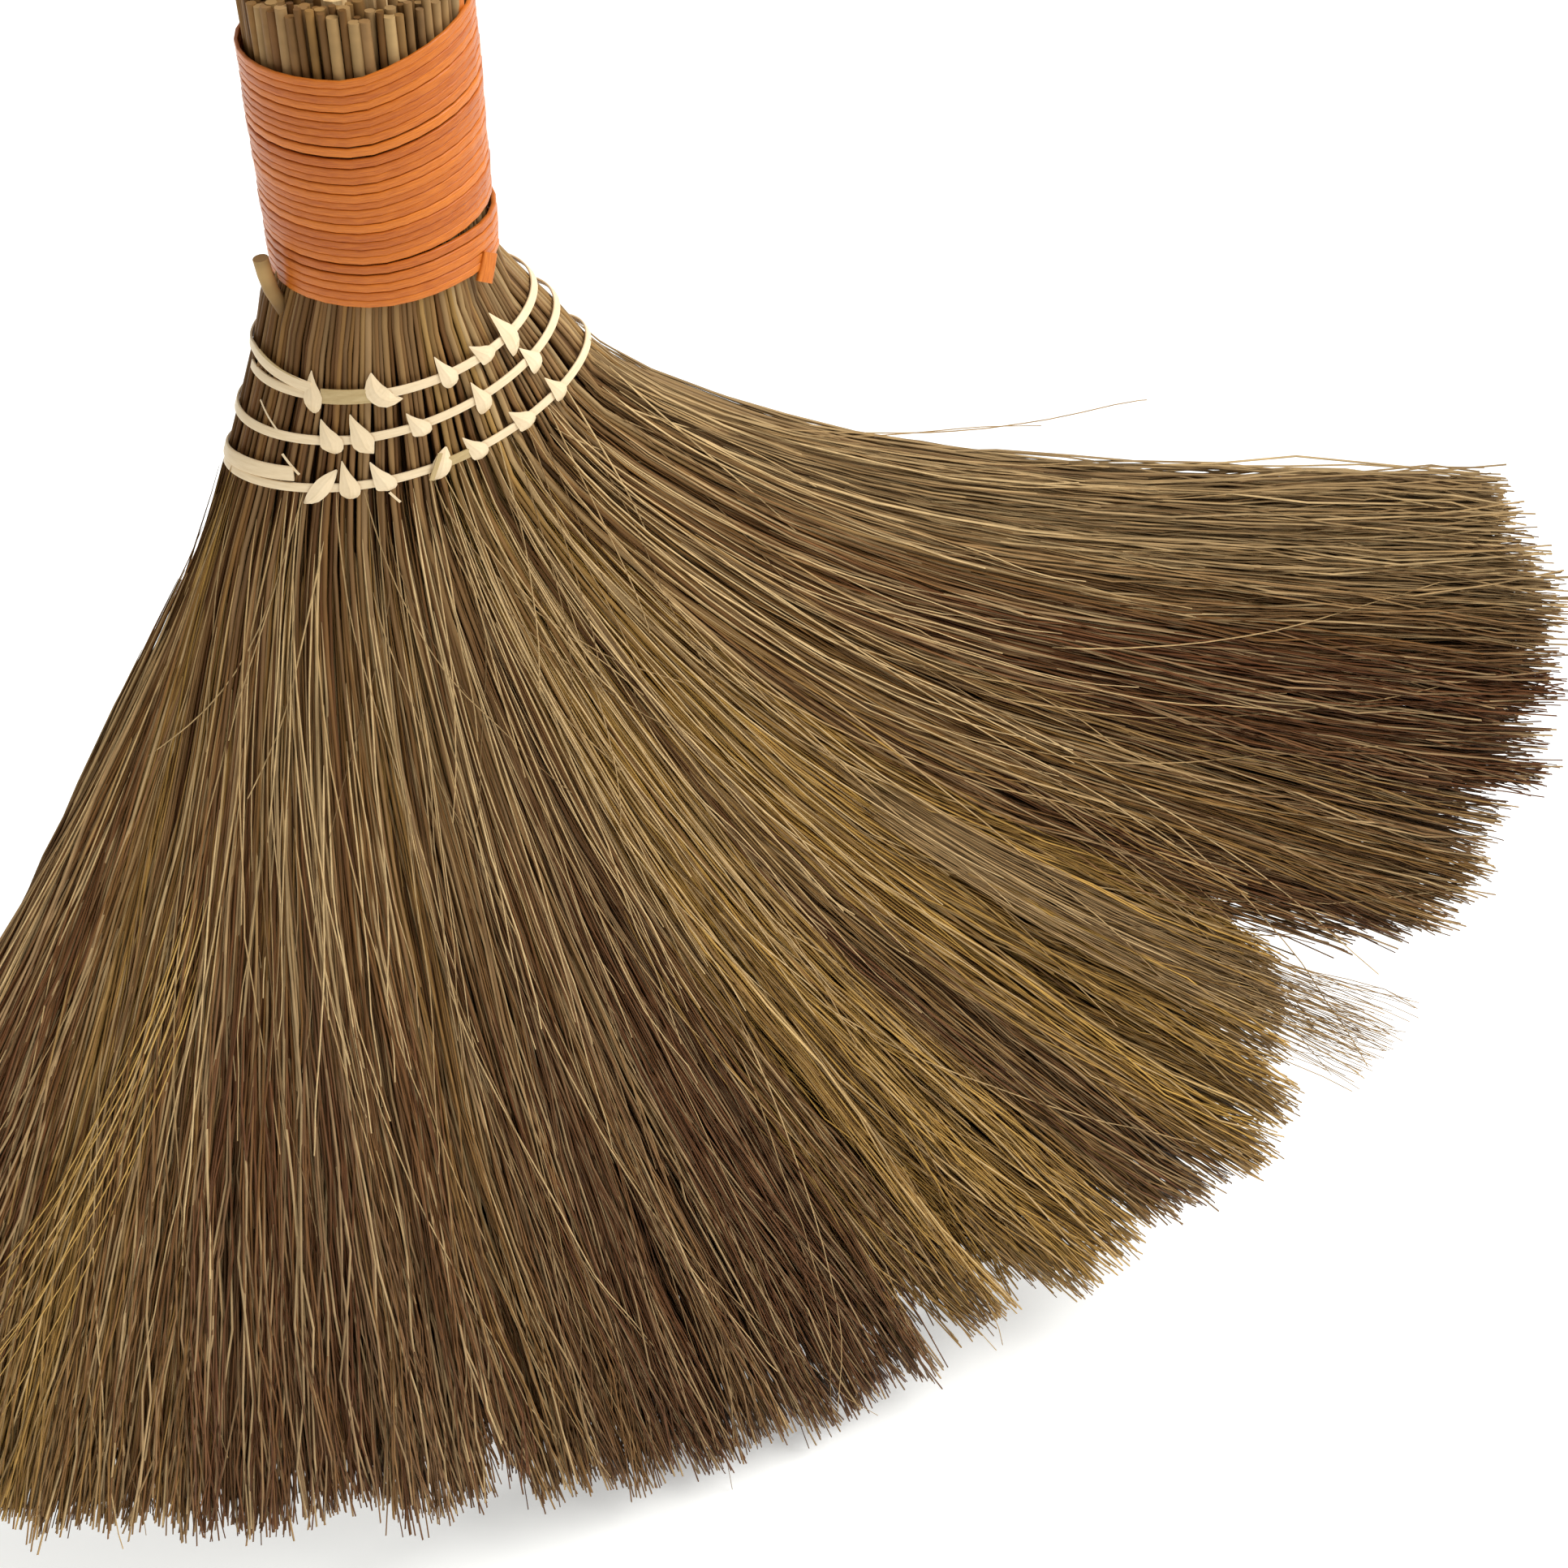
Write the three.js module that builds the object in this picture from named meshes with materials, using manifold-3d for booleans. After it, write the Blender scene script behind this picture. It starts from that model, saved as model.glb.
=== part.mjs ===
// Floor broom: a grass fan sewn with split rattan, bound with cord on a wooden pole.
// Millimetres, +Z up along the pole, the fan lies in XZ and its photographed face is -Y.
// The head is built about the middle of the binding's lower rim, then set on the floor.
import * as THREE from 'three';
import { mergeVertices } from 'three/addons/utils/BufferGeometryUtils.js';
import Module from 'manifold-3d';

const wasm = await Module();
wasm.setup();

// Sizes that drive the part
const CLEAR = 0.3;             // air between pieces that touch in the real broom
const BIND_OUT_D = 45;         // over the cord
const BIND_H = 46;             // height of the wound band
const TURN_STEPS = 15;         // facets in one turn
const CORD_W = 1.5;            // along the pole
const CORD_T = 1.1;            // across the wall
const CORD_AIR = 0.49;         // between two turns
const POLE_D = 18;
const POLE_END_Z = 4;          // lower end of the pole above the binding's lower rim
const POLE_TIP_D = 12;
const POLE_TAPER = 24;
const POLE_CHAMFER = 1.5;
const OVERALL_H = 1000;        // tips to the top of the pole
const STALK_RISE = 6;          // solid stalk ends above the binding
const STALK_FLARE = 0.4;       // how far they spread there
const STALK_ENDS = 6.4;        // free stalk ends above that
const STALK_D = 2.6;
const STALK_EMBED = 1.5;
const HOOP_W = 2.0;
const HOOP_T = 0.8;
const HOOP_STEPS = 40;
const HOOP_LEAD = 2.5;         // how far a hoop climbs in a full turn, so its ends lie side by side
const HOOP_OVERLAP = 40;       // degrees that its two ends lie together
const TIE_W = 2.6;
const TIE_T = 0.7;
const TIE_LEG = 3.7;           // hoop centre to a leg
const FLAP_RISE = 6.4;         // pointed end of a tie above its hoop
const FLAP_LEAN = 1.6;
const WEDGE_D = 4.6;
const WEDGE_L = 34;
const WEDGE_RISE = 5;          // above the solid stalk ends
const STUB_D = 2.8;
const STUB_OFF = 2.6;          // loose stalk end outside the binding
const STUB_UP = 7.5;
const STUB_DOWN = 13;
const STUB_FORWARD = 5;
const STRAND_W = [1.9, 3.4, 3.4];   // at the neck, half way and at the tip
const STRAND_T = 1.5;
const LAYERS = 11;
const LANE = 0.049;            // share of the neck's half width for one strand
const EDGE = 0.027;            // a strand's middle to the side of its bunch, same measure
const TIP_HALF_Y = 16;         // half thickness of the fan at its tips
const BUNCH_CUTS = [-0.5, 0, 0.5];
const RIM_POINTS = 48;
const ROOT_POINTS = 24;
const STRAIGHT = 0.15;         // strands that head further left than this don't bend
const FLUTE = 0.35;            // depth of the grooves between stalks

// Neck under the binding: how far down, half width and half depth of the stalks at each row,
// at the seam where the strands begin and at the strands' roots
const ROW_1_DROP = 14.5;
const ROW_1_HALF = 28.7;
const ROW_1_DEEP = 21.3;
const ROW_2_DROP = 22.6;
const ROW_2_HALF = 33.7;
const ROW_2_DEEP = 20.3;
const ROW_3_DROP = 32.3;
const ROW_3_HALF = 38.7;
const ROW_3_DEEP = 18.9;
const SEAM_DROP = 40;
const SEAM_HALF = 41.6;
const SEAM_DEEP = 18.3;
const ROOT_DROP = 46.5;
const ROOT_HALF = 48;
const ROOT_DEEP = 17.8;
const ROOT_SAG = 8.5;           // the middle of the roots hangs lower than their sides
const ROOT_TILT = 7;           // and their right side is higher than the left
const ROOT_SHIFT = 3.9;        // and further from the pole
const FAN_REACH = 480;         // lower rim of the binding to the furthest tips

// Rows of ties, across the neck from -1 (left edge) to 1 (right edge)
const TIES = [
  [-0.743, -0.353, 0.114, 0.407, 0.61],
  [-0.606, -0.442, -0.108, 0.288, 0.662],
  [-0.635, -0.495, -0.319, -0.02, 0.187, 0.473, 0.7],
];

// Sections of the stalk bundle from its cut top to the strands' roots:
// height, middle, half width, half depth, rise to the right, sag of the middle
const cordDip = (BIND_OUT_D / 2) * (1 - Math.cos(Math.PI / TURN_STEPS));
const bundleR = BIND_OUT_D / 2 - CORD_T - cordDip - CLEAR;
const round = (z, r) => ({ z, c: 0, a: r, b: r, rise: 0, sag: 0 });
const spread = (drop, a, b) => {
  const k = (a - bundleR) / (ROOT_HALF - bundleR);
  return { z: -drop, c: ROOT_SHIFT * k * k, a, b, rise: ROOT_TILT * Math.sqrt(k), sag: ROOT_SAG * k };
};
const LEVELS = [
  round(BIND_H + STALK_RISE, bundleR + STALK_FLARE),
  round(BIND_H, bundleR),
  round(0, bundleR),
  spread(ROW_1_DROP, ROW_1_HALF, ROW_1_DEEP),
  spread(ROW_2_DROP, ROW_2_HALF, ROW_2_DEEP),
  spread(ROW_3_DROP, ROW_3_HALF, ROW_3_DEEP),
  spread(SEAM_DROP, SEAM_HALF, SEAM_DEEP),
  spread(ROOT_DROP, ROOT_HALF, ROOT_DEEP),
];
const ROW_LEVELS = [3, 4, 5];
const LAST = LEVELS.length - 1;
const STALK_SPAN = [0, 1, 2, 3, 4, 5, 6];
const SEAM_LEVEL = LAST - 1;
// the slice of stalks that the strands are fused to
const ROOT_SPAN = [SEAM_LEVEL + CLEAR / (ROOT_DROP - SEAM_DROP), LAST];

// Reach of the fan from the middle of the lower rim, by direction from straight down,
// as a share of its longest strands
const REACH = [
  [-40, 0.75], [-24, 0.8], [-10, 0.854], [-3, 0.892], [9, 0.963], [21, 0.983],
  [27, 1], [35, 1], [46, 0.954], [52, 0.925], [59.5, 0.844], [66, 0.729], [80, 0.646],
];
const FAN_LEFT = -39;          // heading of the outer strands at the neck, degrees from straight down
const FAN_RIGHT = 60;
const FAN_BEND = 16;           // how much further the right edge bends outward
const TRIM = 0.05;             // uneven trimming, share of a strand's reach

const rad = THREE.MathUtils.degToRad;
const V = (x, y, z) => new THREE.Vector3(x, y, z);
let seed = 20731;
const rnd = () => {
  seed = (seed * 16807) % 2147483647;
  return seed / 2147483647;
};

function table(rows, x) {
  let i = 1;
  while (i < rows.length - 1 && x > rows[i][0]) {
    i += 1;
  }
  const [x0, y0] = rows[i - 1];
  const [x1, y1] = rows[i];
  const k = THREE.MathUtils.clamp((x - x0) / (x1 - x0), 0, 1);
  return y0 + (y1 - y0) * k;
}

// Solids

function toManifold(geometry) {
  const g = geometry.clone();
  g.deleteAttribute('normal');
  g.deleteAttribute('uv');
  const m = mergeVertices(g, 1e-4);
  const build = (order) => new wasm.Manifold(new wasm.Mesh({
    numProp: 3,
    vertProperties: new Float32Array(m.attributes.position.array),
    triVerts: new Uint32Array(order),
  }));
  const solid = build(m.index.array);
  return solid.volume() > 0 ? solid : build(Array.from(m.index.array).reverse());
}

function toGeometry(solid) {
  const mesh = solid.getMesh();
  const g = new THREE.BufferGeometry();
  g.setAttribute('position', new THREE.BufferAttribute(new Float32Array(mesh.vertProperties), 3));
  g.setIndex(new THREE.BufferAttribute(new Uint32Array(mesh.triVerts), 1));
  g.computeVertexNormals();
  return g;
}

function fromRings(rings, closed) {
  const n = rings[0].length;
  const pos = [];
  const idx = [];
  rings.forEach((ring) => ring.forEach((p) => pos.push(p.x, p.y, p.z)));
  const spans = closed ? rings.length : rings.length - 1;
  for (let i = 0; i < spans; i += 1) {
    const r0 = i * n;
    const r1 = ((i + 1) % rings.length) * n;
    for (let j = 0; j < n; j += 1) {
      const k = (j + 1) % n;
      idx.push(r0 + j, r1 + k, r1 + j, r0 + j, r0 + k, r1 + k);
    }
  }
  if (!closed) {
    const e = (rings.length - 1) * n;
    for (let j = 1; j < n - 1; j += 1) {
      idx.push(0, j + 1, j, e, e + j, e + j + 1);
    }
  }
  const g = new THREE.BufferGeometry();
  g.setAttribute('position', new THREE.Float32BufferAttribute(pos, 3));
  g.setIndex(idx);
  return g;
}

// A section drawn along a path. Each path point has a place and an outward direction;
// the section is given as [outward, sideways] pairs, or as a function of the point's number.
function sweep(path, section, closed = false) {
  const count = path.length;
  const rings = path.map((here, i) => {
    const a = path[closed ? (i + count - 1) % count : Math.max(i - 1, 0)].p;
    const b = path[closed ? (i + 1) % count : Math.min(i + 1, count - 1)].p;
    const along = b.clone().sub(a).normalize();
    const out = here.out.clone().addScaledVector(along, -here.out.dot(along)).normalize();
    const side = along.clone().cross(out);
    const outline = typeof section === 'function' ? section(i) : section;
    return outline.map(([o, s]) => here.p.clone().addScaledVector(out, o).addScaledVector(side, s));
  });
  return fromRings(rings, closed);
}

const strip = (t, w, grow = 0) => {
  const o = t / 2 + grow;
  const s = w / 2 + grow;
  return [[o, s], [-o, s], [-o, -s], [o, -s]];
};

function rod(a, b, d, sides) {
  const along = b.clone().sub(a).normalize();
  const hint = Math.abs(along.z) > 0.9 ? V(1, 0, 0) : V(0, 0, 1);
  const ring = [];
  for (let i = 0; i < sides; i += 1) {
    const t = (2 * Math.PI * (i + 0.5)) / sides;
    ring.push([(d / 2) * Math.cos(t), (d / 2) * Math.sin(t)]);
  }
  return sweep([{ p: a, out: hint }, { p: b, out: hint }], ring);
}

// The bundle: across (-1..1), depth (-1 front..1 back), level as a running number

function inBundle(lv, across, depth) {
  const i = Math.min(Math.floor(lv), LAST - 1);
  const k = lv - i;
  const at = (n) => {
    const s = LEVELS[n];
    const z = s.z + s.rise * across - s.sag * (1 - across * across);
    return V(s.c + s.a * across, s.b * depth, z);
  };
  return at(i).lerp(at(i + 1), k);
}

const downStalk = (lv, across, depth) => {
  const a = inBundle(Math.max(lv - 0.2, 0), across, depth);
  const b = inBundle(Math.min(lv + 0.2, LAST), across, depth);
  return b.sub(a).normalize();
};

function onWall(lv, turn) {
  const here = inBundle(lv, Math.cos(turn), Math.sin(turn));
  const next = inBundle(lv, Math.cos(turn + 0.01), Math.sin(turn + 0.01));
  const along = next.sub(here).normalize();
  const down = downStalk(lv, Math.cos(turn), Math.sin(turn));
  return { here, down, out: down.clone().cross(along).normalize() };
}

function bundleBody(span, points, flute) {
  const rings = span.map((lv) => {
    const ring = [];
    const middle = inBundle(lv, 0, 0);
    for (let i = 0; i < points; i += 1) {
      const turn = (2 * Math.PI * i) / points;
      const p = inBundle(lv, Math.cos(turn), Math.sin(turn));
      const inward = V(middle.x, 0, p.z).sub(p).normalize();
      ring.push(p.addScaledVector(inward, i % 2 ? flute : 0));
    }
    return ring;
  });
  const wall = fromRings(rings, true);
  const idx = Array.from(wall.index.array).slice(0, (span.length - 1) * points * 6);
  const cap = (base, flip) => {
    const half = points / 2;
    const add = (a, b, c) => idx.push(base + a, base + (flip ? c : b), base + (flip ? b : c));
    for (let i = 0; i < half; i += 1) {
      const a = i;
      const b = i + 1;
      const c = (points - i) % points;
      const d = points - i - 1;
      if (a !== c) {
        add(a, b, c);
      }
      if (b !== d) {
        add(b, d, c);
      }
    }
  };
  cap(0, true);
  cap((span.length - 1) * points, false);
  wall.setIndex(idx);
  return wall;
}

function bunchRegion(from, to) {
  const side = (across, shift) => LEVELS.map((s, n) => {
    const p = inBundle(n, across, 0);
    return new THREE.Vector2(p.x + shift, p.z);
  });
  const left = from > -1 ? side(from, CLEAR * 0.6) : side(-1, -BIND_OUT_D / 2);
  const right = to < 1 ? side(to, -CLEAR * 0.6) : side(1, BIND_OUT_D / 2);
  const cap = (line, n, dz) => line.splice(n, 0, line[n === 0 ? 0 : n - 1].clone().setY(dz));
  [left, right].forEach((line) => {
    cap(line, 0, BIND_H + BIND_OUT_D);
    cap(line, line.length, -2 * ROOT_DROP);
  });
  const shape = new THREE.Shape([...left, ...right.reverse()]);
  const g = new THREE.ExtrudeGeometry(shape, { depth: 2 * BIND_OUT_D, bevelEnabled: false });
  g.rotateX(Math.PI / 2);
  g.translate(0, BIND_OUT_D, 0);
  return g;
}

// One strand: it leaves the neck, bends outward a little and ends on the trimmed outline.
// Its heading is a place across the whole fan, -1..1.
function strand(across, depth, heading) {
  const share = (heading + 1) / 2;
  const start = rad(FAN_LEFT + (FAN_RIGHT - FAN_LEFT) * share);
  const turn = rad(FAN_BEND * Math.max((heading - STRAIGHT) / (1 - STRAIGHT), 0) ** 1.5);
  const root = inBundle(LAST, across, depth);
  const trim = 1 - TRIM * rnd();
  const place = (s, len) => {
    const p = root.clone();
    const parts = 12;
    for (let i = 0; i < parts; i += 1) {
      const m = (s * (i + 0.5)) / parts;
      const a = start + turn * (1 - (1 - m) ** 2);
      const step = (len * s) / parts;
      p.x += step * Math.sin(a);
      p.z -= step * Math.cos(a);
    }
    p.y = root.y + (depth * TIP_HALF_Y - root.y) * s;
    return p;
  };
  let len = FAN_REACH;
  for (let i = 0; i < 8; i += 1) {
    const tip = place(1, len);
    const angle = THREE.MathUtils.radToDeg(Math.atan2(tip.x, -tip.z));
    len += FAN_REACH * table(REACH, angle) * trim - Math.hypot(tip.x, tip.z);
  }
  const out = V(0, -1, 0);
  const head = place(0.02, len).sub(root).normalize();
  const stations = heading < STRAIGHT ? [0, 1] : [0, 0.4, 1];
  const path = stations.map((s) => ({ p: place(s, len), out }));
  path[0].p.addScaledVector(head, -STALK_EMBED);
  return sweep(path, (i) => {
    const w = STRAND_W[i === path.length - 1 ? 2 : i] / 2;
    return [[STRAND_T / 2, 0], [-STRAND_T / 2, w], [-STRAND_T / 2, -w]];
  });
}

// Pole, wedges and a loose stalk end

const poleTop = (drop) => OVERALL_H - drop;
function poleBody(drop, grow) {
  const r = POLE_D / 2 + grow;
  const tip = POLE_TIP_D / 2 + grow;
  const z0 = POLE_END_Z - grow;
  const z1 = poleTop(drop) + grow;
  const profile = [
    [0, z0], [tip, z0], [r, z0 + POLE_TAPER], [r, z1 - POLE_CHAMFER], [r - POLE_CHAMFER, z1], [0, z1],
  ];
  const g = new THREE.LatheGeometry(profile.map(([x, y]) => new THREE.Vector2(x, y)), 24);
  return g.rotateX(Math.PI / 2);
}

const wedgeR = POLE_D / 2 + WEDGE_D / 2 + 2 * CLEAR;
const WEDGES = [['wedge_left', -0.55], ['wedge_right', 0.06]];
function wedgeBody(turn, grow) {
  const x = wedgeR * Math.sin(turn);
  const y = -wedgeR * Math.cos(turn);
  const top = BIND_H + STALK_RISE + WEDGE_RISE;
  return rod(V(x, y, top - WEDGE_L - grow), V(x, y, top + grow), WEDGE_D + 2 * grow, 8);
}

function stubBody(grow) {
  const x = -BIND_OUT_D / 2 - STUB_OFF - STUB_D / 2;
  const foot = V(x + STUB_OFF * 0.4, -STUB_FORWARD, -STUB_DOWN - grow);
  return rod(foot, V(x, -STUB_FORWARD, STUB_UP), STUB_D + 2 * grow, 6);
}

// Cord: one unbroken winding, both ends turned square into the bundle

const cordR = bundleR + CLEAR + cordDip + CORD_T / 2;
const TURNS = Math.min(Math.floor((BIND_H - CORD_W - 2 * CLEAR) / (CORD_W + CORD_AIR)), 24);
const cordPitch = (BIND_H - CORD_W - 2 * CLEAR) / TURNS;
const CORD_FROM = rad(20);
function cordPath() {
  const path = [];
  const radial = (t) => V(Math.cos(t), Math.sin(t), 0);
  const ahead = (t) => V(-Math.sin(t), Math.cos(t), 0);
  const steps = TURNS * TURN_STEPS;
  const zAt = (i) => CLEAR + CORD_W / 2 + (cordPitch * TURNS * i) / steps;
  const tAt = (i) => CORD_FROM + (2 * Math.PI * i) / TURN_STEPS;
  const end = (i, sign) => {
    const t = tAt(i);
    const turned = ahead(t).multiplyScalar(sign);
    const inward = CORD_T / 2 + cordDip + CLEAR + CORD_W;
    return [[1.0, 0.25], [1.5, 0.9], [1.5, inward]].map(([on, d]) => ({
      p: radial(t).multiplyScalar(cordR - d).setZ(zAt(i)).addScaledVector(turned, on),
      out: d > 0.5 ? turned : turned.clone().add(radial(t)).normalize(),
    }));
  };
  path.push(...end(0, -1).reverse());
  for (let i = 0; i <= steps; i += 1) {
    path.push({ p: radial(tAt(i)).multiplyScalar(cordR).setZ(zAt(i)), out: radial(tAt(i)) });
  }
  path.push(...end(steps, 1));
  return path;
}

function cordGap(path) {
  let least = Infinity;
  for (let i = 0; i < path.length; i += 1) {
    for (let j = i + TURN_STEPS - 4; j < path.length; j += 1) {
      least = Math.min(least, path[i].p.distanceTo(path[j].p) - CORD_W);
    }
  }
  return least;
}

// Hoops and ties of split rattan

const HOOP_LEFT = rad(180);
const hoopSpan = 2 * Math.PI + rad(HOOP_OVERLAP);
function hoopPoint(row, part) {
  const turn = HOOP_LEFT + rad(HOOP_OVERLAP) - hoopSpan * part + 2 * Math.PI;
  const wall = onWall(ROW_LEVELS[row], turn);
  const off = HOOP_LEAD * (hoopSpan / (2 * Math.PI)) * (part - 0.5);
  const p = wall.here.clone().addScaledVector(wall.out, HOOP_T / 2 + 2 * CLEAR);
  return { p: p.addScaledVector(wall.down, off), out: wall.out };
}
function hoopBody(row) {
  const path = [];
  for (let i = 0; i <= HOOP_STEPS; i += 1) {
    path.push(hoopPoint(row, i / HOOP_STEPS));
  }
  return sweep(path, strip(HOOP_T, HOOP_W));
}

const TIE_OVER = 3 * CLEAR + HOOP_T + TIE_T / 2;
const TIE_FLAT = 2.7;
function tieFrame(row, across) {
  const lv = ROW_LEVELS[row];
  const turn = Math.acos(across);
  const deep = LEVELS[lv].b * Math.sin(turn);
  return { mid: inBundle(lv, across, 0), down: downStalk(lv, across, 0), deep, lv, turn };
}
function tieBody(row, across) {
  const { mid, down, deep, lv, turn } = tieFrame(row, across);
  const bar = (wall, s) => ({
    p: wall.here.clone().addScaledVector(wall.out, TIE_OVER).addScaledVector(wall.down, s),
    out: wall.out,
  });
  const leg = (s, y) => ({
    p: mid.clone().addScaledVector(down, s).setY(y),
    out: down.clone().multiplyScalar(Math.sign(s)),
  });
  const front = onWall(lv, -turn);
  const back = onWall(lv, turn);
  const path = [
    bar(front, -TIE_FLAT), leg(-TIE_LEG, -deep - 0.4), leg(-TIE_LEG, deep + 0.4), bar(back, -TIE_FLAT),
    bar(back, TIE_FLAT), leg(TIE_LEG, deep + 0.4), leg(TIE_LEG, -deep - 0.4), bar(front, TIE_FLAT),
  ];
  return sweep(path, strip(TIE_T, TIE_W), true);
}
function flapBody(row, across) {
  const { lv, turn } = tieFrame(row, across);
  const { here, down, out } = onWall(lv, -turn);
  const right = out.clone().cross(down);
  const at = (s, r, o) => here.clone().addScaledVector(down, s).addScaledVector(right, r)
    .addScaledVector(out, TIE_OVER + o);
  const rings = [0.7, -0.2].map((o) => [
    at(1.4, -TIE_W / 2, o * TIE_T), at(1.4, TIE_W / 2, o * TIE_T), at(-FLAP_RISE, -FLAP_LEAN, o * TIE_T),
  ]);
  return fromRings(rings, false);
}
function tieHoles(row, across) {
  const { mid, down, deep } = tieFrame(row, across);
  return [-TIE_LEG, TIE_LEG].map((s) => {
    const leg = mid.clone().addScaledVector(down, s);
    const path = [-deep - 2, deep + 2].map((y) => ({ p: leg.clone().setY(y), out: down }));
    return sweep(path, strip(TIE_T, TIE_W, CLEAR));
  });
}
const parts = new THREE.Group();
parts.name = 'floor_broom';
const look = (color, roughness) => new THREE.MeshStandardMaterial({ color, roughness, metalness: 0 });
const GRASS = look(0x7d6640, 0.85);
const STALK = look(0x8b7355, 0.8);
const RATTAN = look(0xeed9b6, 0.6);
const CORD = look(0xd4743a, 0.5);
const WOOD = look(0xd9bf8f, 0.55);
const PEG = look(0xe6cfa4, 0.7);
function add(name, solid, material) {
  if (solid.isEmpty() || solid.decompose().length !== 1) {
    throw new Error(`${name} is not one body`);
  }
  const mesh = new THREE.Mesh(toGeometry(solid), material);
  mesh.name = name;
  parts.add(mesh);
}

// Strands first: the longest one says how far the floor is below the binding
const cuts = [-1, ...BUNCH_CUTS, 1];
const strands = cuts.slice(1).map(() => []);
let drop = 0;
let strandCount = 0;
for (let j = 0; j < LAYERS; j += 1) {
  const depth = -0.88 + (1.76 * j) / (LAYERS - 1);
  const width = 0.97 * Math.sqrt(1 - depth * depth);
  strands.forEach((list, n) => {
    const from = Math.max(cuts[n], -width);
    const to = Math.min(cuts[n + 1], width);
    const count = Math.max(Math.round((to - from - 2 * EDGE) / LANE), 0);
    for (let i = 0; i < count; i += 1) {
      const part = (i + ((j * 0.618) % 1)) / count;
      const across = from + EDGE + (to - from - 2 * EDGE) * part;
      const body = strand(across, depth, (from + (to - from) * part) / (0.35 + 0.65 * width));
      body.computeBoundingBox();
      drop = Math.max(drop, -body.boundingBox.min.z);
      list.push(toManifold(body));
      strandCount += 1;
    }
  });
}

// Cut stalk ends that stand above the binding
const stalkEnds = cuts.slice(1).map(() => []);
const outerRing = bundleR - STALK_D / 2;
[[outerRing, 30], [outerRing - 1.5 * STALK_D, 24]].forEach(([r, count]) => {
  for (let i = 0; i < count; i += 1) {
    const t = (2 * Math.PI * (i + 0.5)) / count;
    const x = r * Math.cos(t);
    const y = r * Math.sin(t);
    const z = BIND_H + STALK_RISE;
    const rise = STALK_ENDS * (0.5 + 0.25 * Math.sin(t) + 0.5 * rnd());
    const n = cuts.findIndex((c) => c * (bundleR + STALK_FLARE) > x) - 1;
    const near = BUNCH_CUTS.some((c) => Math.abs(c * (bundleR + STALK_FLARE) - x) < STALK_D / 2 + CLEAR);
    if (!near) {
      stalkEnds[n].push(toManifold(rod(V(x, y, z - STALK_EMBED), V(x, y, z + rise), STALK_D, 5)));
    }
  }
});

const ties = [];
TIES.forEach((row, r) => row.forEach((across, i) => {
  const name = `row_${r + 1}_tie_${i + 1}`;
  ties.push({ name, body: tieBody(r, across), holes: tieHoles(r, across), flap: flapBody(r, across) });
}));

const cord = cordPath();
function cordHole(wall, end) {
  const along = end.p.clone().sub(wall.p).normalize();
  const path = [wall.p.clone().addScaledVector(along, -CLEAR), end.p.clone().addScaledVector(along, CLEAR)];
  return toManifold(sweep(path.map((p) => ({ p, out: end.out })), strip(CORD_T, CORD_W, CLEAR)));
}
const holes = wasm.Manifold.union([
  toManifold(poleBody(drop, CLEAR)),
  ...WEDGES.map(([, turn]) => toManifold(wedgeBody(turn, CLEAR))),
  toManifold(stubBody(CLEAR)),
  ...ties.flatMap((t) => t.holes.map(toManifold)),
  cordHole(cord[1], cord[0]),
  cordHole(cord[cord.length - 2], cord[cord.length - 1]),
]);

const stalkBody = toManifold(bundleBody(STALK_SPAN, RIM_POINTS, FLUTE));
const rootBody = toManifold(bundleBody(ROOT_SPAN, ROOT_POINTS, 0));
strands.forEach((list, n) => {
  const region = toManifold(bunchRegion(cuts[n], cuts[n + 1]));
  const stalks = wasm.Manifold.union([stalkBody.intersect(region), ...stalkEnds[n]]);
  add(`stalk_bunch_${n + 1}`, stalks.subtract(holes), STALK);
  add(`bristle_fan_${n + 1}`, wasm.Manifold.union([rootBody.intersect(region), ...list]), GRASS);
});

add('handle_pole', toManifold(poleBody(drop, 0)), WOOD);
WEDGES.forEach(([name, turn]) => add(name, toManifold(wedgeBody(turn, 0)), PEG));
add('stub_stalk', toManifold(stubBody(0)), STALK);
add('binding_cord', toManifold(sweep(cord, strip(CORD_T, CORD_W))), CORD);
ROW_LEVELS.forEach((lv, row) => add(`row_${row + 1}_hoop`, toManifold(hoopBody(row)), RATTAN));
ties.forEach((t) => add(t.name, toManifold(t.body).add(toManifold(t.flap)), RATTAN));

const gap = cordGap(cord);
let triangles = 0;
parts.children.forEach((m) => {
  triangles += m.geometry.index.count / 3;
  console.log(m.name, m.geometry.index.count / 3);
});
console.log(`cord: least gap to itself ${gap.toFixed(2)} mm; strands ${strandCount}; triangles ${triangles}`);

// The floor is under the lowest tip, the middle of the whole outline is over the origin
const box = new THREE.Box3().setFromObject(parts);
parts.position.set(-(box.min.x + box.max.x) / 2, -(box.min.y + box.max.y) / 2, -box.min.z);
console.log(`lower rim of the binding at x ${parts.position.x.toFixed(2)} z ${parts.position.z.toFixed(2)}`);

const broom = new THREE.Group();
broom.name = 'floor_broom_on_floor';
broom.add(parts);
export default broom;
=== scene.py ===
# %% [markdown]
# Floor broom
#
# This broom is a fan of dried grass. Its stalks are gathered round a wooden pole, bound with orange
# cord, spread out below and sewn flat with three rows of split rattan. The CAD model gives every
# piece its place and size. This lesson dresses it: thousands of fine strands, single stalks, a wound
# cord and folded rattan, each with a material that looks like the real one.

import math

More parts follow.
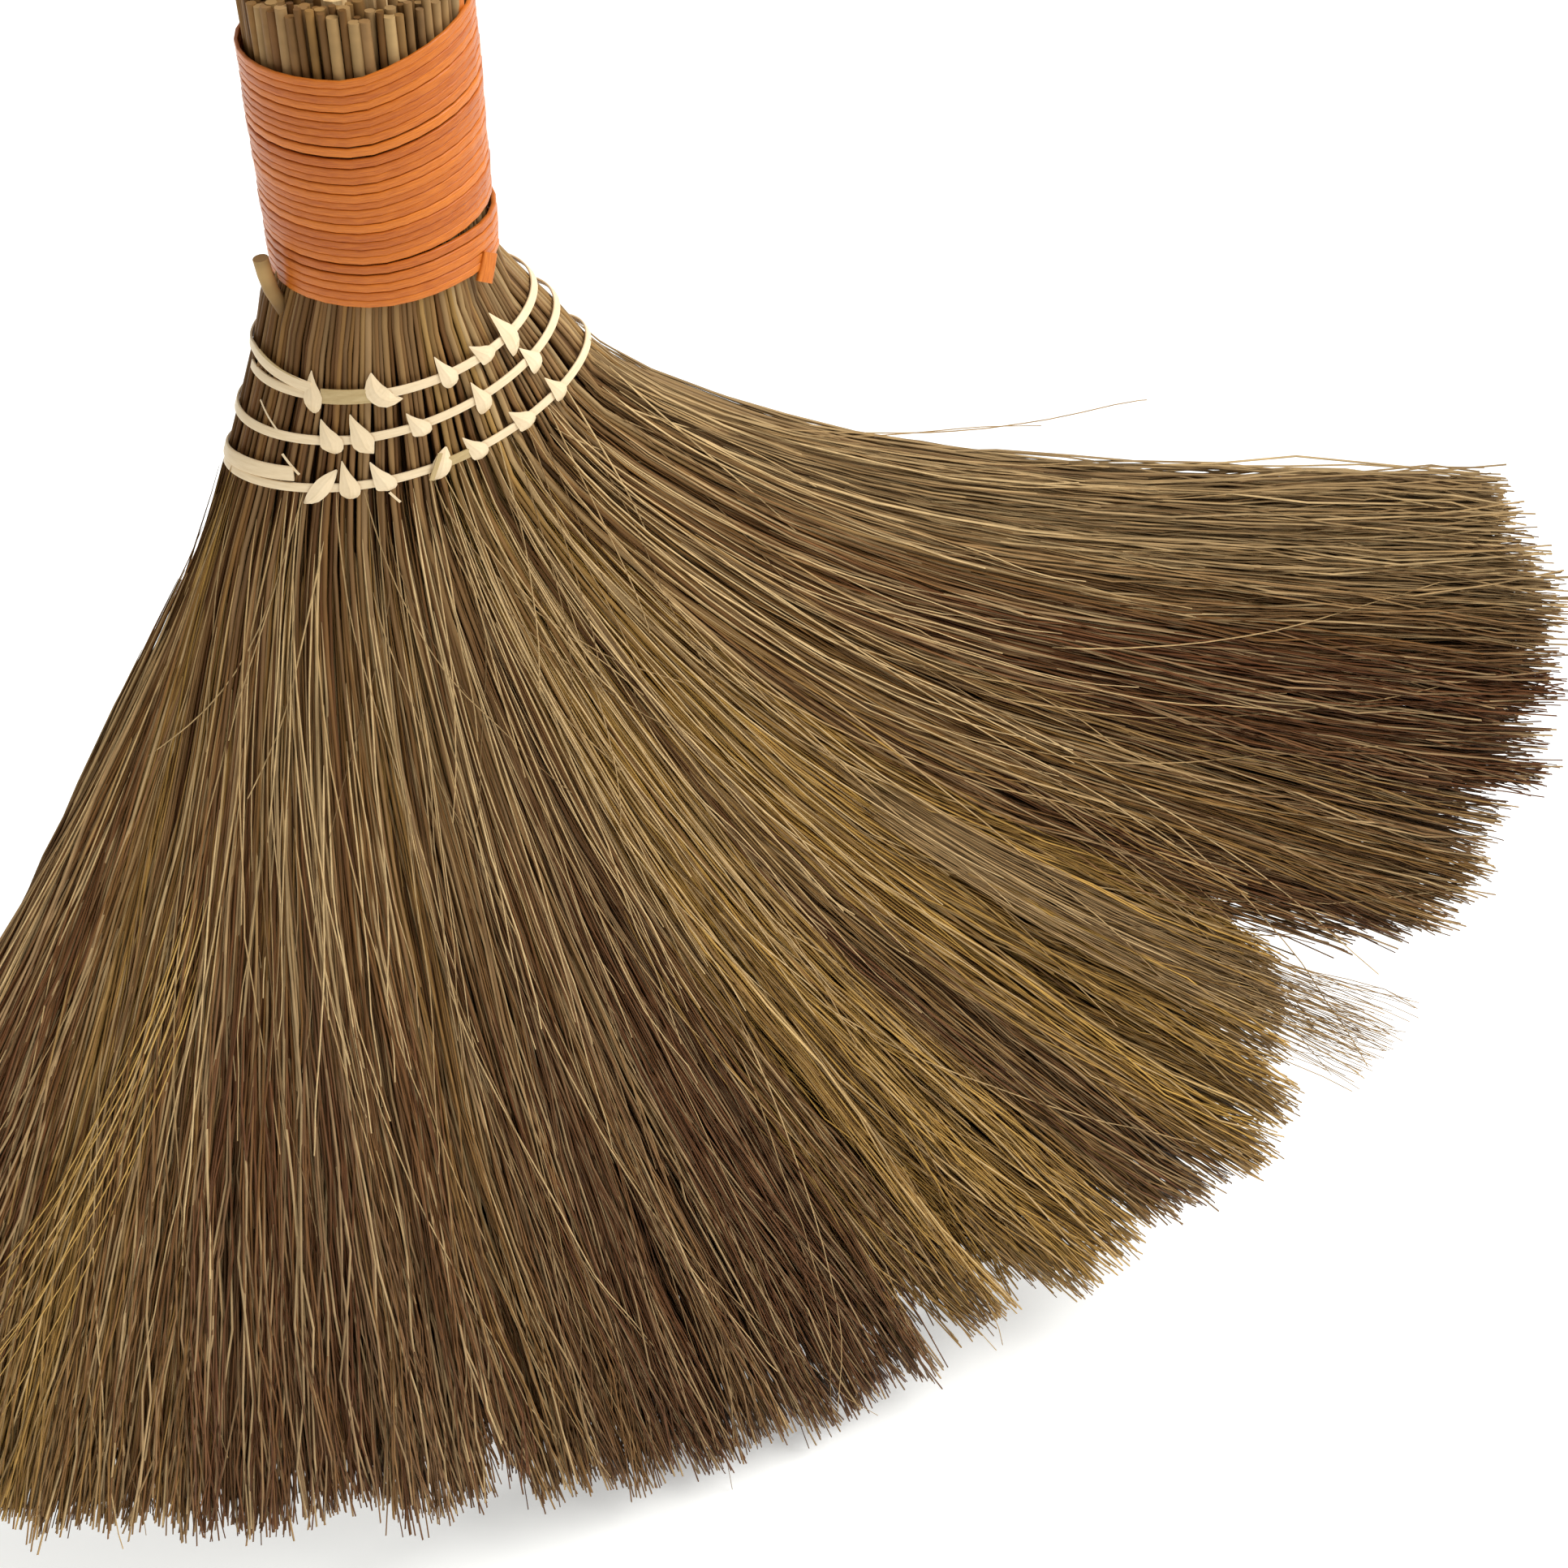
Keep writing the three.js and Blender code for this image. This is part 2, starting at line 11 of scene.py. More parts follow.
import bpy
import numpy as np
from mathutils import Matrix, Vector


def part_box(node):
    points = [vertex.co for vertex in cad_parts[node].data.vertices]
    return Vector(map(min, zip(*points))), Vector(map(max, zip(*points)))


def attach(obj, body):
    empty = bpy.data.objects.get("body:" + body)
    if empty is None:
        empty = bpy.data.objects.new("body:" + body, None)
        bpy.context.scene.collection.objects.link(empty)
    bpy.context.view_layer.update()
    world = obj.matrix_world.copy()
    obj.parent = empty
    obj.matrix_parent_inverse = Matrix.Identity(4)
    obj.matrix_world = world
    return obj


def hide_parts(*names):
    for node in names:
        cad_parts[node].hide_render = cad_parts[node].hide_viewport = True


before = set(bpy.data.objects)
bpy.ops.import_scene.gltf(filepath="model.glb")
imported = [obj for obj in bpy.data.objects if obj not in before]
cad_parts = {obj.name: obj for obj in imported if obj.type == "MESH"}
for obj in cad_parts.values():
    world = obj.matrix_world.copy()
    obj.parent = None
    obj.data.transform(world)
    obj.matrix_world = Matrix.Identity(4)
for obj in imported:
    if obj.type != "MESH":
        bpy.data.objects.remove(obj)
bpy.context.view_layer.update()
MM = 0.001
POLE_END_Z = 4.0                 # lower end of the pole above the lower rim of the binding
BROOM_SEED = 41                  # one fixed seed, so that every run gives the same broom
pole_low, pole_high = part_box("handle_pole")
RIM = np.array([(pole_low.x + pole_high.x) / 2, (pole_low.y + pole_high.y) / 2, pole_low.z]) / MM
RIM[2] -= POLE_END_Z
rng = np.random.default_rng(BROOM_SEED)
print("middle of the lower rim, mm:", RIM.round(2))

# %% [markdown]
# The camera comes first, because every later choice is judged through it. The photograph looks down
# on the broom from the front left. A camera could be placed by eye, but here its place is worked out
# from the rims of the binding and written as an offset from the lower rim, in millimetres.

# %% Camera
PHOTO_SIDE = 1932                # pixels, the photograph is square
FOCAL_PX = 2900                  # focal length in the same pixels
SENSOR = 36.0
CAMERA_FROM_RIM = np.array([-112.8, -411.9, 226.0])
CAMERA_HEADING = (0.438, 0.899)
CAMERA_PITCH = math.radians(41)


def look(obj, forward):
    obj.rotation_euler = Vector(forward).to_track_quat("-Z", "Y").to_euler()


scene = bpy.context.scene
camera = bpy.data.objects.new("camera", bpy.data.cameras.new("camera"))
scene.collection.objects.link(camera)
camera.data.sensor_width = SENSOR
camera.data.lens = SENSOR * FOCAL_PX / PHOTO_SIDE
camera.location = (RIM + CAMERA_FROM_RIM) * MM
look(camera, (CAMERA_HEADING[0] * math.cos(CAMERA_PITCH),
              CAMERA_HEADING[1] * math.cos(CAMERA_PITCH), -math.sin(CAMERA_PITCH)))
scene.camera = camera
print("camera at", [round(x, 4) for x in camera.location], "lens", round(camera.data.lens, 2))

# %% [markdown]
# A few small helpers serve all materials and node trees. Colours are written as the hex codes that a
# picture editor shows, and Blender works in linear light, so one function converts them. Another adds
# a node, sets its options and fills its inputs: a value is set, a socket is linked, and a node stands
# for its own first output.


# %% Helpers for colours and nodes
def linear(code):
    parts = [int(code[i:i + 2], 16) / 255 for i in (1, 3, 5)]
    return [p / 12.92 if p <= 0.04045 else ((p + 0.055) / 1.055) ** 2.4 for p in parts] + [1.0]


def fill(tree, node, inputs):
    for key, value in inputs.items():
        if isinstance(value, bpy.types.Node):
            value = value.outputs[0]
        if isinstance(value, bpy.types.NodeSocket):
            tree.links.new(value, node.inputs[key])
        else:
            node.inputs[key].default_value = value


def add(tree, kind, inputs=None, **settings):
    node = tree.nodes.new(kind)
    for name, value in settings.items():
        setattr(node, name, value)
    fill(tree, node, inputs or {})
    return node


def new_material(name):
    material = bpy.data.materials.new(name)
    material.use_nodes = True
    return material, material.node_tree, material.node_tree.nodes["Principled BSDF"]


print("the helper turns mid grey #808080 into", round(linear("#808080")[0], 3))

# %% [markdown]
# The broom stands on a plain pale sweep, as in a studio. A room with walls could be built round it,
# but one wide sheet is enough, because the light comes from all sides.

# %% Floor
FLOOR_SIZE, FLOOR_DROP = 8.0, 0.0004         # metres, the drop keeps the sheet clear of the tips
CLOUD_MM = 200                               # size of the faint clouds in the paper
FLOOR_GLOW = 0.25
half = FLOOR_SIZE / 2
floor_mesh = bpy.data.meshes.new("floor")
floor_mesh.from_pydata([(-half, -half, 0), (half, -half, 0), (half, half, 0), (-half, half, 0)], [],
                       [(0, 1, 2, 3)])
floor = bpy.data.objects.new("floor", floor_mesh)
floor.location.z = -FLOOR_DROP
scene.collection.objects.link(floor)
# Matt paper has no gloss, and a weak light of its own stands for what a white room throws back.
paper, tree, shader = new_material("white_paper_sweep")
cloud = add(tree, "ShaderNodeTexNoise", {"Scale": FLOOR_SIZE / (CLOUD_MM * MM), "Detail": 2.0})
tint = add(tree, "ShaderNodeMix", {0: cloud.outputs["Fac"], 6: linear("#F2F2EF"),
                                   7: linear("#F5F5F2")}, data_type="RGBA")
fill(tree, shader, {"Base Color": tint.outputs[2], "Roughness": 0.9, "Specular IOR Level": 0.1,
                    "Emission Color": linear("#FFFFFF"), "Emission Strength": FLOOR_GLOW})
floor_mesh.materials.append(paper)
print("floor of", paper.name, FLOOR_SIZE, "m wide")

# %% [markdown]
# The light is soft, as between white walls. A lamp near the broom would leave the far floor grey, so
# a sun with a very wide disc stands for one huge soft light at the right, and a white world fills
# the rest.

# %% Light
TO_SUN = (0.58, -0.28, 0.77)
SUN_DISC = math.radians(48)
SUN_POWER, WORLD_POWER = 3.4, 0.47
scene.view_settings.view_transform = "Standard"
world = bpy.data.worlds.new("white_room")
world.use_nodes = True
fill(world.node_tree, world.node_tree.nodes["Background"],
     {"Color": linear("#FFFFFC"), "Strength": WORLD_POWER})
scene.world = world
sun = bpy.data.objects.new("soft_sun", bpy.data.lights.new("soft_sun", "SUN"))
sun.data.energy = SUN_POWER
sun.data.angle = SUN_DISC
look(sun, [-x for x in TO_SUN])
scene.collection.objects.link(sun)
print("one soft sun and a white world")

# %% [markdown]
# The fan is the main form. A real stalk leaves the binding, passes the three rows, turns into its own
# direction and ends where the broom was trimmed. The strands could be combed by hand as hair, but a
# rule is steadier: every line is set by its heading, the direction of its tip in degrees from straight
# down, and its layer through the thickness (-1 front, 1 back). A short table says for a few headings
# where a strand starts across the neck and how it bends. The sizes are those of the CAD model.

# %% Sizes of the neck and the fan
BUNDLE_R = 20.61                 # the bound stalks under the cord
BIND_H = 46.0
ROWS = ((14.5, 28.7, 21.3), (22.6, 33.7, 20.3), (32.3, 38.7, 18.9))   # drop, half width, half depth
SEAM = (40.0, 41.6, 18.3)        # where stalks turn to strands
ROOT = (46.5, 48.0, 17.8)        # where the fan begins
ROOT_SHIFT, ROOT_TILT, ROOT_SAG = 3.9, 7.0, 8.5    # toward the right, up at the right, down in front
FLARE = (-3.0, -1.5, 23.9, 20.7, 1.0, 0.6)         # the stalks flare at once below the cord
FAN_REACH = 480.0                # from the rim to the tips, times the share at each angle
REACH_ANGLE = (-40, -24, -10, -3, 9, 21, 27, 35, 46, 52, 59.5, 66, 80)
REACH_SHARE = (0.75, 0.8, 0.854, 0.892, 0.963, 0.99, 1.01, 1.01, 0.965, 0.935, 0.848, 0.70, 0.63)
HEADING = (-36.5, -24, -8, 8, 32, 56, 65, 70.5)
ACROSS = (-1, -0.985, -0.68, -0.21, 0.21, 0.65, 0.88, 1)       # place in the neck, -1 left, 1 right
STARTS = (-32.5, -19, -9, 5, 21, 40, 48, 52)                   # direction at the neck
ENDS = (-34.5, -21, -1, 12, 39, 64, 71.2, 74.2)                # direction at the tip
TIP_HALF_Y = 16.0


def spread(drop, wide, deep):
    k = (wide - BUNDLE_R) / (ROOT[1] - BUNDLE_R)
    return (-drop, ROOT_SHIFT * k * k, wide, deep, ROOT_TILT * math.sqrt(k), ROOT_SAG * k)


LEVELS = [(BIND_H, 0, BUNDLE_R, BUNDLE_R, 0, 0), (0, 0, BUNDLE_R, BUNDLE_R, 0, 0), FLARE]
LEVELS += [spread(*size) for size in (*ROWS, SEAM, ROOT)]
NECK_START, FAN_START = 0, 5     # levels: stalks begin in the binding, strands at the last row


def in_neck(level, across, depth, inset=0.0):
    z, c, a, b, rise, sag = LEVELS[level]
    return np.stack([c + (a - inset) * across, (b - inset) * depth,
                     z + rise * across - sag * (1 - across ** 2)], -1)


print(len(LEVELS), "sections from the binding to the roots")

# %% [markdown]
# From these sizes comes one function that returns the middle lines of any number of strands at once.
# Curves could be drawn one by one, but thousands need a rule. Each line runs through the neck, then
# along its heading, and its length is solved so that the tip lands on the trimmed outline, which has
# a few notches where tufts are missing. Some passes of averaging round off the corner at the neck.

# %% Middle lines of the strands
NOTCHES = (   # heading, half width, share of the reach
    (56.6, 0.5, 0.07), (53.2, 0.55, 0.09), (43.1, 1.7, 0.23), (40.3, 2.2, 0.1), (37.9, 0.8, 0.06),
    (22.6, 0.8, 0.1), (18.6, 0.9, 0.09), (-2.6, 0.9, 0.08))
LINE_POINTS = 120
FAN_STEPS = 24                   # from root to tip
BEND_POWER = 2.5                 # most of the bend lies near the neck
LENGTH_TRIES = 8
FAN_PASSES, NECK_PASSES = 40, 4  # of averaging


def reach_at(heading, x, z, trim, notches):
    share = np.interp(np.degrees(np.arctan2(x, -z)), REACH_ANGLE, REACH_SHARE)
    for middle, wide, deep in notches:
        share = share - deep * np.exp(-((heading - middle) / wide) ** 2)
    return FAN_REACH * share * trim


def even_line(line, passes):
    run = np.concatenate([[0], np.cumsum(np.linalg.norm(np.diff(line, axis=0), axis=1))])
    at = np.linspace(0, run[-1], LINE_POINTS)
    out = np.stack([np.interp(at, run, line[:, k]) for k in range(3)], -1)
    for _ in range(passes):
        out[1:-1] = (out[:-2] + 2 * out[1:-1] + out[2:]) / 4
    return out


def strand_lines(heading, layer, trim, first, inset=0.0, passes=FAN_PASSES, notches=NOTCHES):
    across = np.interp(heading, HEADING, ACROSS)
    depth = layer * np.sqrt(np.clip(1 - across ** 2, 0, 1))
    neck = np.stack([in_neck(n, across, depth, inset) for n in range(first, len(LEVELS))], 1)
    root = neck[:, -1]
    part = (np.arange(FAN_STEPS) + 0.5) / FAN_STEPS
    start, end = (np.radians(np.interp(heading, HEADING, row)) for row in (STARTS, ENDS))
    angle = start[:, None] + (end - start)[:, None] * (1 - (1 - part) ** BEND_POWER)
    right = np.cumsum(np.sin(angle), 1) / FAN_STEPS
    down = np.cumsum(np.cos(angle), 1) / FAN_STEPS
    length = np.full(len(heading), FAN_REACH)
    for _ in range(LENGTH_TRIES):
        x = root[:, 0] + length * right[:, -1]
        z = root[:, 2] - length * down[:, -1]
        length = length + reach_at(heading, x, z, trim, notches) - np.hypot(x, z)
    to_tip = (np.arange(FAN_STEPS) + 1) / FAN_STEPS
    fan = np.stack([root[:, :1] + length[:, None] * right,
                    root[:, 1:2] + (depth * TIP_HALF_Y - root[:, 1])[:, None] * to_tip,
                    root[:, 2:] - length[:, None] * down], -1)
    return np.stack([even_line(line, passes) for line in np.concatenate([neck, fan], 1)])


test = strand_lines(np.array([-35.0, 20, 72]), np.zeros(3), np.ones(3), FAN_START)
print("tips of the left edge, middle and right edge, mm:", test[:, -1].round(0).tolist())

# %% [markdown]
# No stalk grows straight, so each line sways sideways in one slow and one quicker wave of its own.
# After that a line keeps only a few points, closer together near the neck, where it bends most:
# every point becomes a ring of the mesh later, and thousands of lines add up.

# %% Sway and stations
SWAYS = ((1.6, 1.0), (4.2, 0.5))             # half waves along the line, strength
STRAND_STATIONS, STRAND_POWER = 15, 1.25     # points of a strand, and how they crowd at the neck


def swayed(lines, size):
    along = np.linspace(0, 1, lines.shape[1])[None]
    ahead = np.gradient(lines, axis=1)
    aside = np.stack([-ahead[..., 2], 0 * ahead[..., 1], ahead[..., 0]], -1)
    aside /= np.linalg.norm(aside, axis=-1, keepdims=True)
    phases = rng.uniform(0, 2 * np.pi, (len(SWAYS), len(lines), 1))
    bend = sum(strong * np.sin(waves * np.pi * along + phase)
               for (waves, strong), phase in zip(SWAYS, phases))
    return lines + aside * (size * along * (bend - bend[:, :1]))[..., None]


def stations(lines, count, power):
    pick = np.linspace(0, 1, count) ** power * (lines.shape[1] - 1)
    return lines[:, pick.round().astype(int)]


kept = stations(test, STRAND_STATIONS, STRAND_POWER).shape[1]
print("a strand keeps", kept, "of", LINE_POINTS, "points")

# %% [markdown]
# Geometry Nodes turn those lines into grass. The tree takes lines, copies each into a clump, gives
# every copy a place of its own at the root and another at the tip, so that strands cross, adds a slow
# wave, trims the ends unevenly and sweeps a small ring along. Blender's hair would look similar, but
# it can't leave as a plain mesh. Every size is a named input, so one tree makes the fan, the neck
# stalks, the cut tops and the strays. The first cell opens and closes any tree of this lesson.


# %% Opening and closing a node tree
def new_tree(name, sockets):
    tree = bpy.data.node_groups.new(name, "GeometryNodeTree")
    tree.interface.new_socket("Geometry", in_out="OUTPUT", socket_type="NodeSocketGeometry")
    tree.interface.new_socket("Lines", in_out="INPUT", socket_type="NodeSocketGeometry")
    for label, kind in sockets:
        tree.interface.new_socket(label, in_out="INPUT", socket_type="NodeSocket" + kind)
    return tree, tree.nodes.new("NodeGroupInput").outputs


def close_tree(tree, mesh, material, soft=True):
    smooth = add(tree, "GeometryNodeSetShadeSmooth", {"Geometry": mesh, "Shade Smooth": soft})
    real = add(tree, "GeometryNodeRealizeInstances", {"Geometry": smooth})
    dressed = add(tree, "GeometryNodeSetMaterial", {"Geometry": real, "Material": material})
    add(tree, "NodeGroupOutput", {"Geometry": dressed})


print("every tree ends in real meshes with a material")

# %% [markdown]
# Where a strand lies in its clump is random, but it has to be the same strand from root to tip. So
# the random numbers hang on the number of the curve, not on the point. The wave is a noise through
# which every strand passes at a depth of its own, and it grows toward the tip.

# %% Place and wave of a strand
ROOT_SEED = 29
TIGHTEST = 0.3                   # the tips of some clumps stay this close together
WAVE_APART = 50.0                # keeps the waves of neighbours from looking alike


def strand_place(tree, size, owner, along):
    at_root, at_tip = (add(tree, "FunctionNodeRandomValue",
                           {0: (-1, -1, -1), 1: (1, 1, 1), "ID": owner, "Seed": seed},
                           data_type="FLOAT_VECTOR") for seed in (ROOT_SEED, size["Seed"]))
    own = add(tree, "ShaderNodeSeparateXYZ", {0: at_tip}).outputs[2]
    gather = add(tree, "ShaderNodeMapRange", {"Value": own, "From Min": -1.0, "To Min": TIGHTEST})
    tip_size = add(tree, "ShaderNodeMath", {0: gather, 1: size["Tip Spread"]}, operation="MULTIPLY")
    root, tip = (add(tree, "ShaderNodeVectorMath", {0: end, "Scale": scale}, operation="SCALE")
                 for end, scale in ((at_root, size["Root Spread"]), (at_tip, tip_size)))
    apart = add(tree, "ShaderNodeMix", {0: along, 4: root, 5: tip}, data_type="VECTOR").outputs[1]
    each = add(tree, "ShaderNodeSeparateXYZ", {0: apart}).outputs
    tangent = add(tree, "GeometryNodeInputTangent")
    aside = add(tree, "ShaderNodeVectorMath", {0: tangent, 1: (0, 1, 0)}, operation="CROSS_PRODUCT")
    in_plane = add(tree, "ShaderNodeVectorMath", {0: aside, "Scale": each[0]}, operation="SCALE")
    off_deep = add(tree, "ShaderNodeMath", {0: each[1], 1: size["Depth Share"]}, operation="MULTIPLY")
    deep = add(tree, "ShaderNodeCombineXYZ", {1: off_deep})
    return add(tree, "ShaderNodeVectorMath", {0: in_plane, 1: deep}), own


def strand_wave(tree, size, along, place, own):
    scale = add(tree, "ShaderNodeMath", {0: 1.0, 1: size["Wave Length"]}, operation="DIVIDE")
    depth = add(tree, "ShaderNodeMath", {0: own, 1: WAVE_APART}, operation="MULTIPLY")
    noise = add(tree, "ShaderNodeTexNoise", {"Vector": place, "W": depth, "Scale": scale,
                                             "Detail": 1.0}, noise_dimensions="4D")
    wave = add(tree, "ShaderNodeVectorMath", {0: noise.outputs["Color"], 1: (0.5, 0.5, 0.5)},
               operation="SUBTRACT")
    grown = add(tree, "ShaderNodeMath", {0: along, 1: size["Wave"]}, operation="MULTIPLY")
    return add(tree, "ShaderNodeVectorMath", {0: wave, "Scale": grown}, operation="SCALE")


print("strands spread in the plane of the fan, and less through its depth")

# %% [markdown]
# Real strands branch off at different heights, break off at different lengths, lie on the floor where
# they meet it, and are finest where they leave the stalk. These four rules make the rest of a strand.

# %% Ends and thickness of a strand
TRIM_SEED = 7
STOUT_LOW, STOUT_HIGH = 0.7, 1.3             # thin and stout strands, as shares of the radius
SHARP_END = 0.2                              # radius where a strand leaves the stalk, as a share


def trim_ends(tree, size, curve):
    spline = add(tree, "GeometryNodeInputIndex")
    start = add(tree, "FunctionNodeRandomValue", {2: 0.0, 3: size["Branch"], "ID": spline,
                                                  "Seed": size["Seed"]}).outputs[1]
    cut = add(tree, "FunctionNodeRandomValue", {2: 0.0, 3: 1.0, "ID": spline,
                                                "Seed": TRIM_SEED}).outputs[1]
    rare = add(tree, "ShaderNodeMath", {0: cut, 1: 2.0}, operation="POWER")
    off = add(tree, "ShaderNodeMath", {0: rare, 1: size["Trim"]}, operation="MULTIPLY")
    end = add(tree, "ShaderNodeMath", {0: 1.0, 1: off}, operation="SUBTRACT")
    return add(tree, "GeometryNodeTrimCurve", {"Curve": curve, 2: start, 3: end})


def above_floor(tree, size, curve, place):
    point = add(tree, "ShaderNodeSeparateXYZ", {0: place}).outputs
    height = add(tree, "ShaderNodeMath", {0: point[2], 1: size["Floor"]}, operation="MAXIMUM")
    held = add(tree, "ShaderNodeCombineXYZ", {0: point[0], 1: point[1], 2: height})
    return add(tree, "GeometryNodeSetPosition", {"Geometry": curve, "Position": held})


def strand_radius(tree, size, along, shade):
    taper = add(tree, "ShaderNodeMapRange", {"Value": along, "To Min": size["Root Radius"],
                                             "To Max": size["Tip Radius"]})
    stout = add(tree, "ShaderNodeMapRange", {"Value": shade, "To Min": STOUT_LOW,
                                             "To Max": STOUT_HIGH})
    thick = add(tree, "ShaderNodeMath", {0: taper, 1: stout}, operation="MULTIPLY")
    sharp = add(tree, "ShaderNodeMapRange", {"Value": along, "From Max": size["Point"],
                                             "To Min": SHARP_END})
    return add(tree, "ShaderNodeMath", {0: thick, 1: sharp}, operation="MULTIPLY")


print("strands are", STOUT_LOW, "to", STOUT_HIGH, "times as thick as the mean")

# %% [markdown]
# The tree puts these rules in order: copy each line, move the copies, trim them, lay them on the floor
# and sweep a ring along. On the way it stores two numbers for the material, a random shade for each
# strand and how far along it a point lies.

# %% A node tree for clumps of strands
SHADE_SEED = 3


def clump_tree():
    tree, size = new_tree("grass_clump", (
        ("Strands", "Int"), ("Root Spread", "Float"), ("Tip Spread", "Float"),
        ("Depth Share", "Float"), ("Wave", "Float"), ("Wave Length", "Float"),
        ("Root Radius", "Float"), ("Tip Radius", "Float"), ("Branch", "Float"), ("Trim", "Float"),
        ("Point", "Float"), ("Floor", "Float"), ("Sides", "Int"), ("Seed", "Int"),
        ("Material", "Material")))
    lines = add(tree, "GeometryNodeMeshToCurve", {"Mesh": size["Lines"]})
    copies = add(tree, "GeometryNodeDuplicateElements",
                 {"Geometry": lines, "Amount": size["Strands"]}, domain="SPLINE")
    owner = add(tree, "GeometryNodeCurveOfPoint").outputs["Curve Index"]
    along = add(tree, "GeometryNodeSplineParameter").outputs["Factor"]
    place = add(tree, "GeometryNodeInputPosition")
    apart, own = strand_place(tree, size, owner, along)
    shift = add(tree, "ShaderNodeVectorMath",
                {0: apart, 1: strand_wave(tree, size, along, place, own)})
    moved = add(tree, "GeometryNodeSetPosition", {"Geometry": copies, "Offset": shift})
    kept = above_floor(tree, size, trim_ends(tree, size, moved), place)
    shade = add(tree, "FunctionNodeRandomValue",
                {2: 0.0, 3: 1.0, "ID": owner, "Seed": SHADE_SEED}).outputs[1]
    for label, value in (("shade", shade), ("along", along)):
        kept = add(tree, "GeometryNodeStoreNamedAttribute",
                   {"Geometry": kept, "Name": label, "Value": value})
    ring = add(tree, "GeometryNodeCurvePrimitiveCircle", {"Resolution": size["Sides"], "Radius": 1.0})
    tubes = add(tree, "GeometryNodeCurveToMesh",
                {"Curve": kept, "Profile Curve": ring, "Fill Caps": True,
                 "Scale": strand_radius(tree, size, along, shade)})
    close_tree(tree, tubes, size["Material"])
    return tree


CLUMP = clump_tree()
print("clump tree with", len(CLUMP.nodes), "nodes")

# %% [markdown]
# A tree needs an object to work on. One could draw a curve object for each piece, but bare lines are
# lighter and can carry numbers. So this helper makes a mesh of lines, stores numbers on their points
# for the tree and the material to read, lets the modifier run once and keeps the plain result. The
# second one ties a finished piece to the frame.


# %% From lines to a finished piece
def grow(name, lines, tree, values, numbers, vectors=None):
    count, points = lines.shape[:2]
    first = np.arange(count)[:, None] * points + np.arange(points - 1)
    edges = np.stack([first.ravel(), first.ravel() + 1], -1)
    source = bpy.data.meshes.new(name + "_lines")
    source.from_pydata(((lines + RIM) * MM).reshape(-1, 3).tolist(), edges.tolist(), [])
    for label, data in numbers.items():
        on_points = np.broadcast_to(np.asarray(data, float).reshape(count, -1), (count, points))
        layer = source.attributes.new(label, "FLOAT", "POINT")
        layer.data.foreach_set("value", on_points.ravel().astype(np.float32))
    for label, data in (vectors or {}).items():
        layer = source.attributes.new(label, "FLOAT_VECTOR", "POINT")
        layer.data.foreach_set("vector", np.asarray(data, np.float32).ravel())
    carrier = bpy.data.objects.new(name + "_lines", source)
    scene.collection.objects.link(carrier)
    nodes = carrier.modifiers.new("nodes", "NODES")
    nodes.node_group = tree
    for item in tree.interface.items_tree:
        if item.name in values:
            nodes[item.identifier] = values[item.name]
    bpy.context.view_layer.update()
    ready = carrier.evaluated_get(bpy.context.evaluated_depsgraph_get())
    mesh = bpy.data.meshes.new_from_object(ready)
    mesh.name = name
    bpy.data.objects.remove(carrier)
    bpy.data.meshes.remove(source)
    piece = bpy.data.objects.new(name, mesh)
    scene.collection.objects.link(piece)
    return piece


def settle(piece, slot, *nodes):
    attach(piece, "root")
    if nodes:
        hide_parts(*nodes)
    faces = sum(len(p.vertices) - 2 for p in piece.data.polygons)
    print(piece.name, faces, "triangles")


print("every piece is one plain mesh on the body root")

# %% [markdown]
# Dried grass is a waxy straw: matt to half gloss, and no two strands have the same colour. Near the
# neck it is olive, some clumps are gold or tan, others dry to a brown toward the tips, and a few
# strands are pale. A picture of straw could be wrapped round, but it would repeat. Here numbers on
# the points say how gold or brown a clump is and how much painted shade it gets where it lies deep
# inside the fan, and each strand's own random number lightens or darkens it.

# %% Grass material
OLIVE, GOLD, UMBER, TAN = "#8E693F", "#CEA453", "#6C4427", "#B89A6C"
# The last colour of the next line is painted shade, for strands and stalks deep inside the fan and
# neck.
DARK, PALE, SHADE_BROWN = "#4A2A0A", "#D6B886", "#46260A"
STRAW_GLOSS, STRAW_IOR = 0.12, 1.45
OWN_PATCHES = 900.0              # moves each strand to patches of its own
STRAW_ROUGH = 0.1                # how far the roughness strays


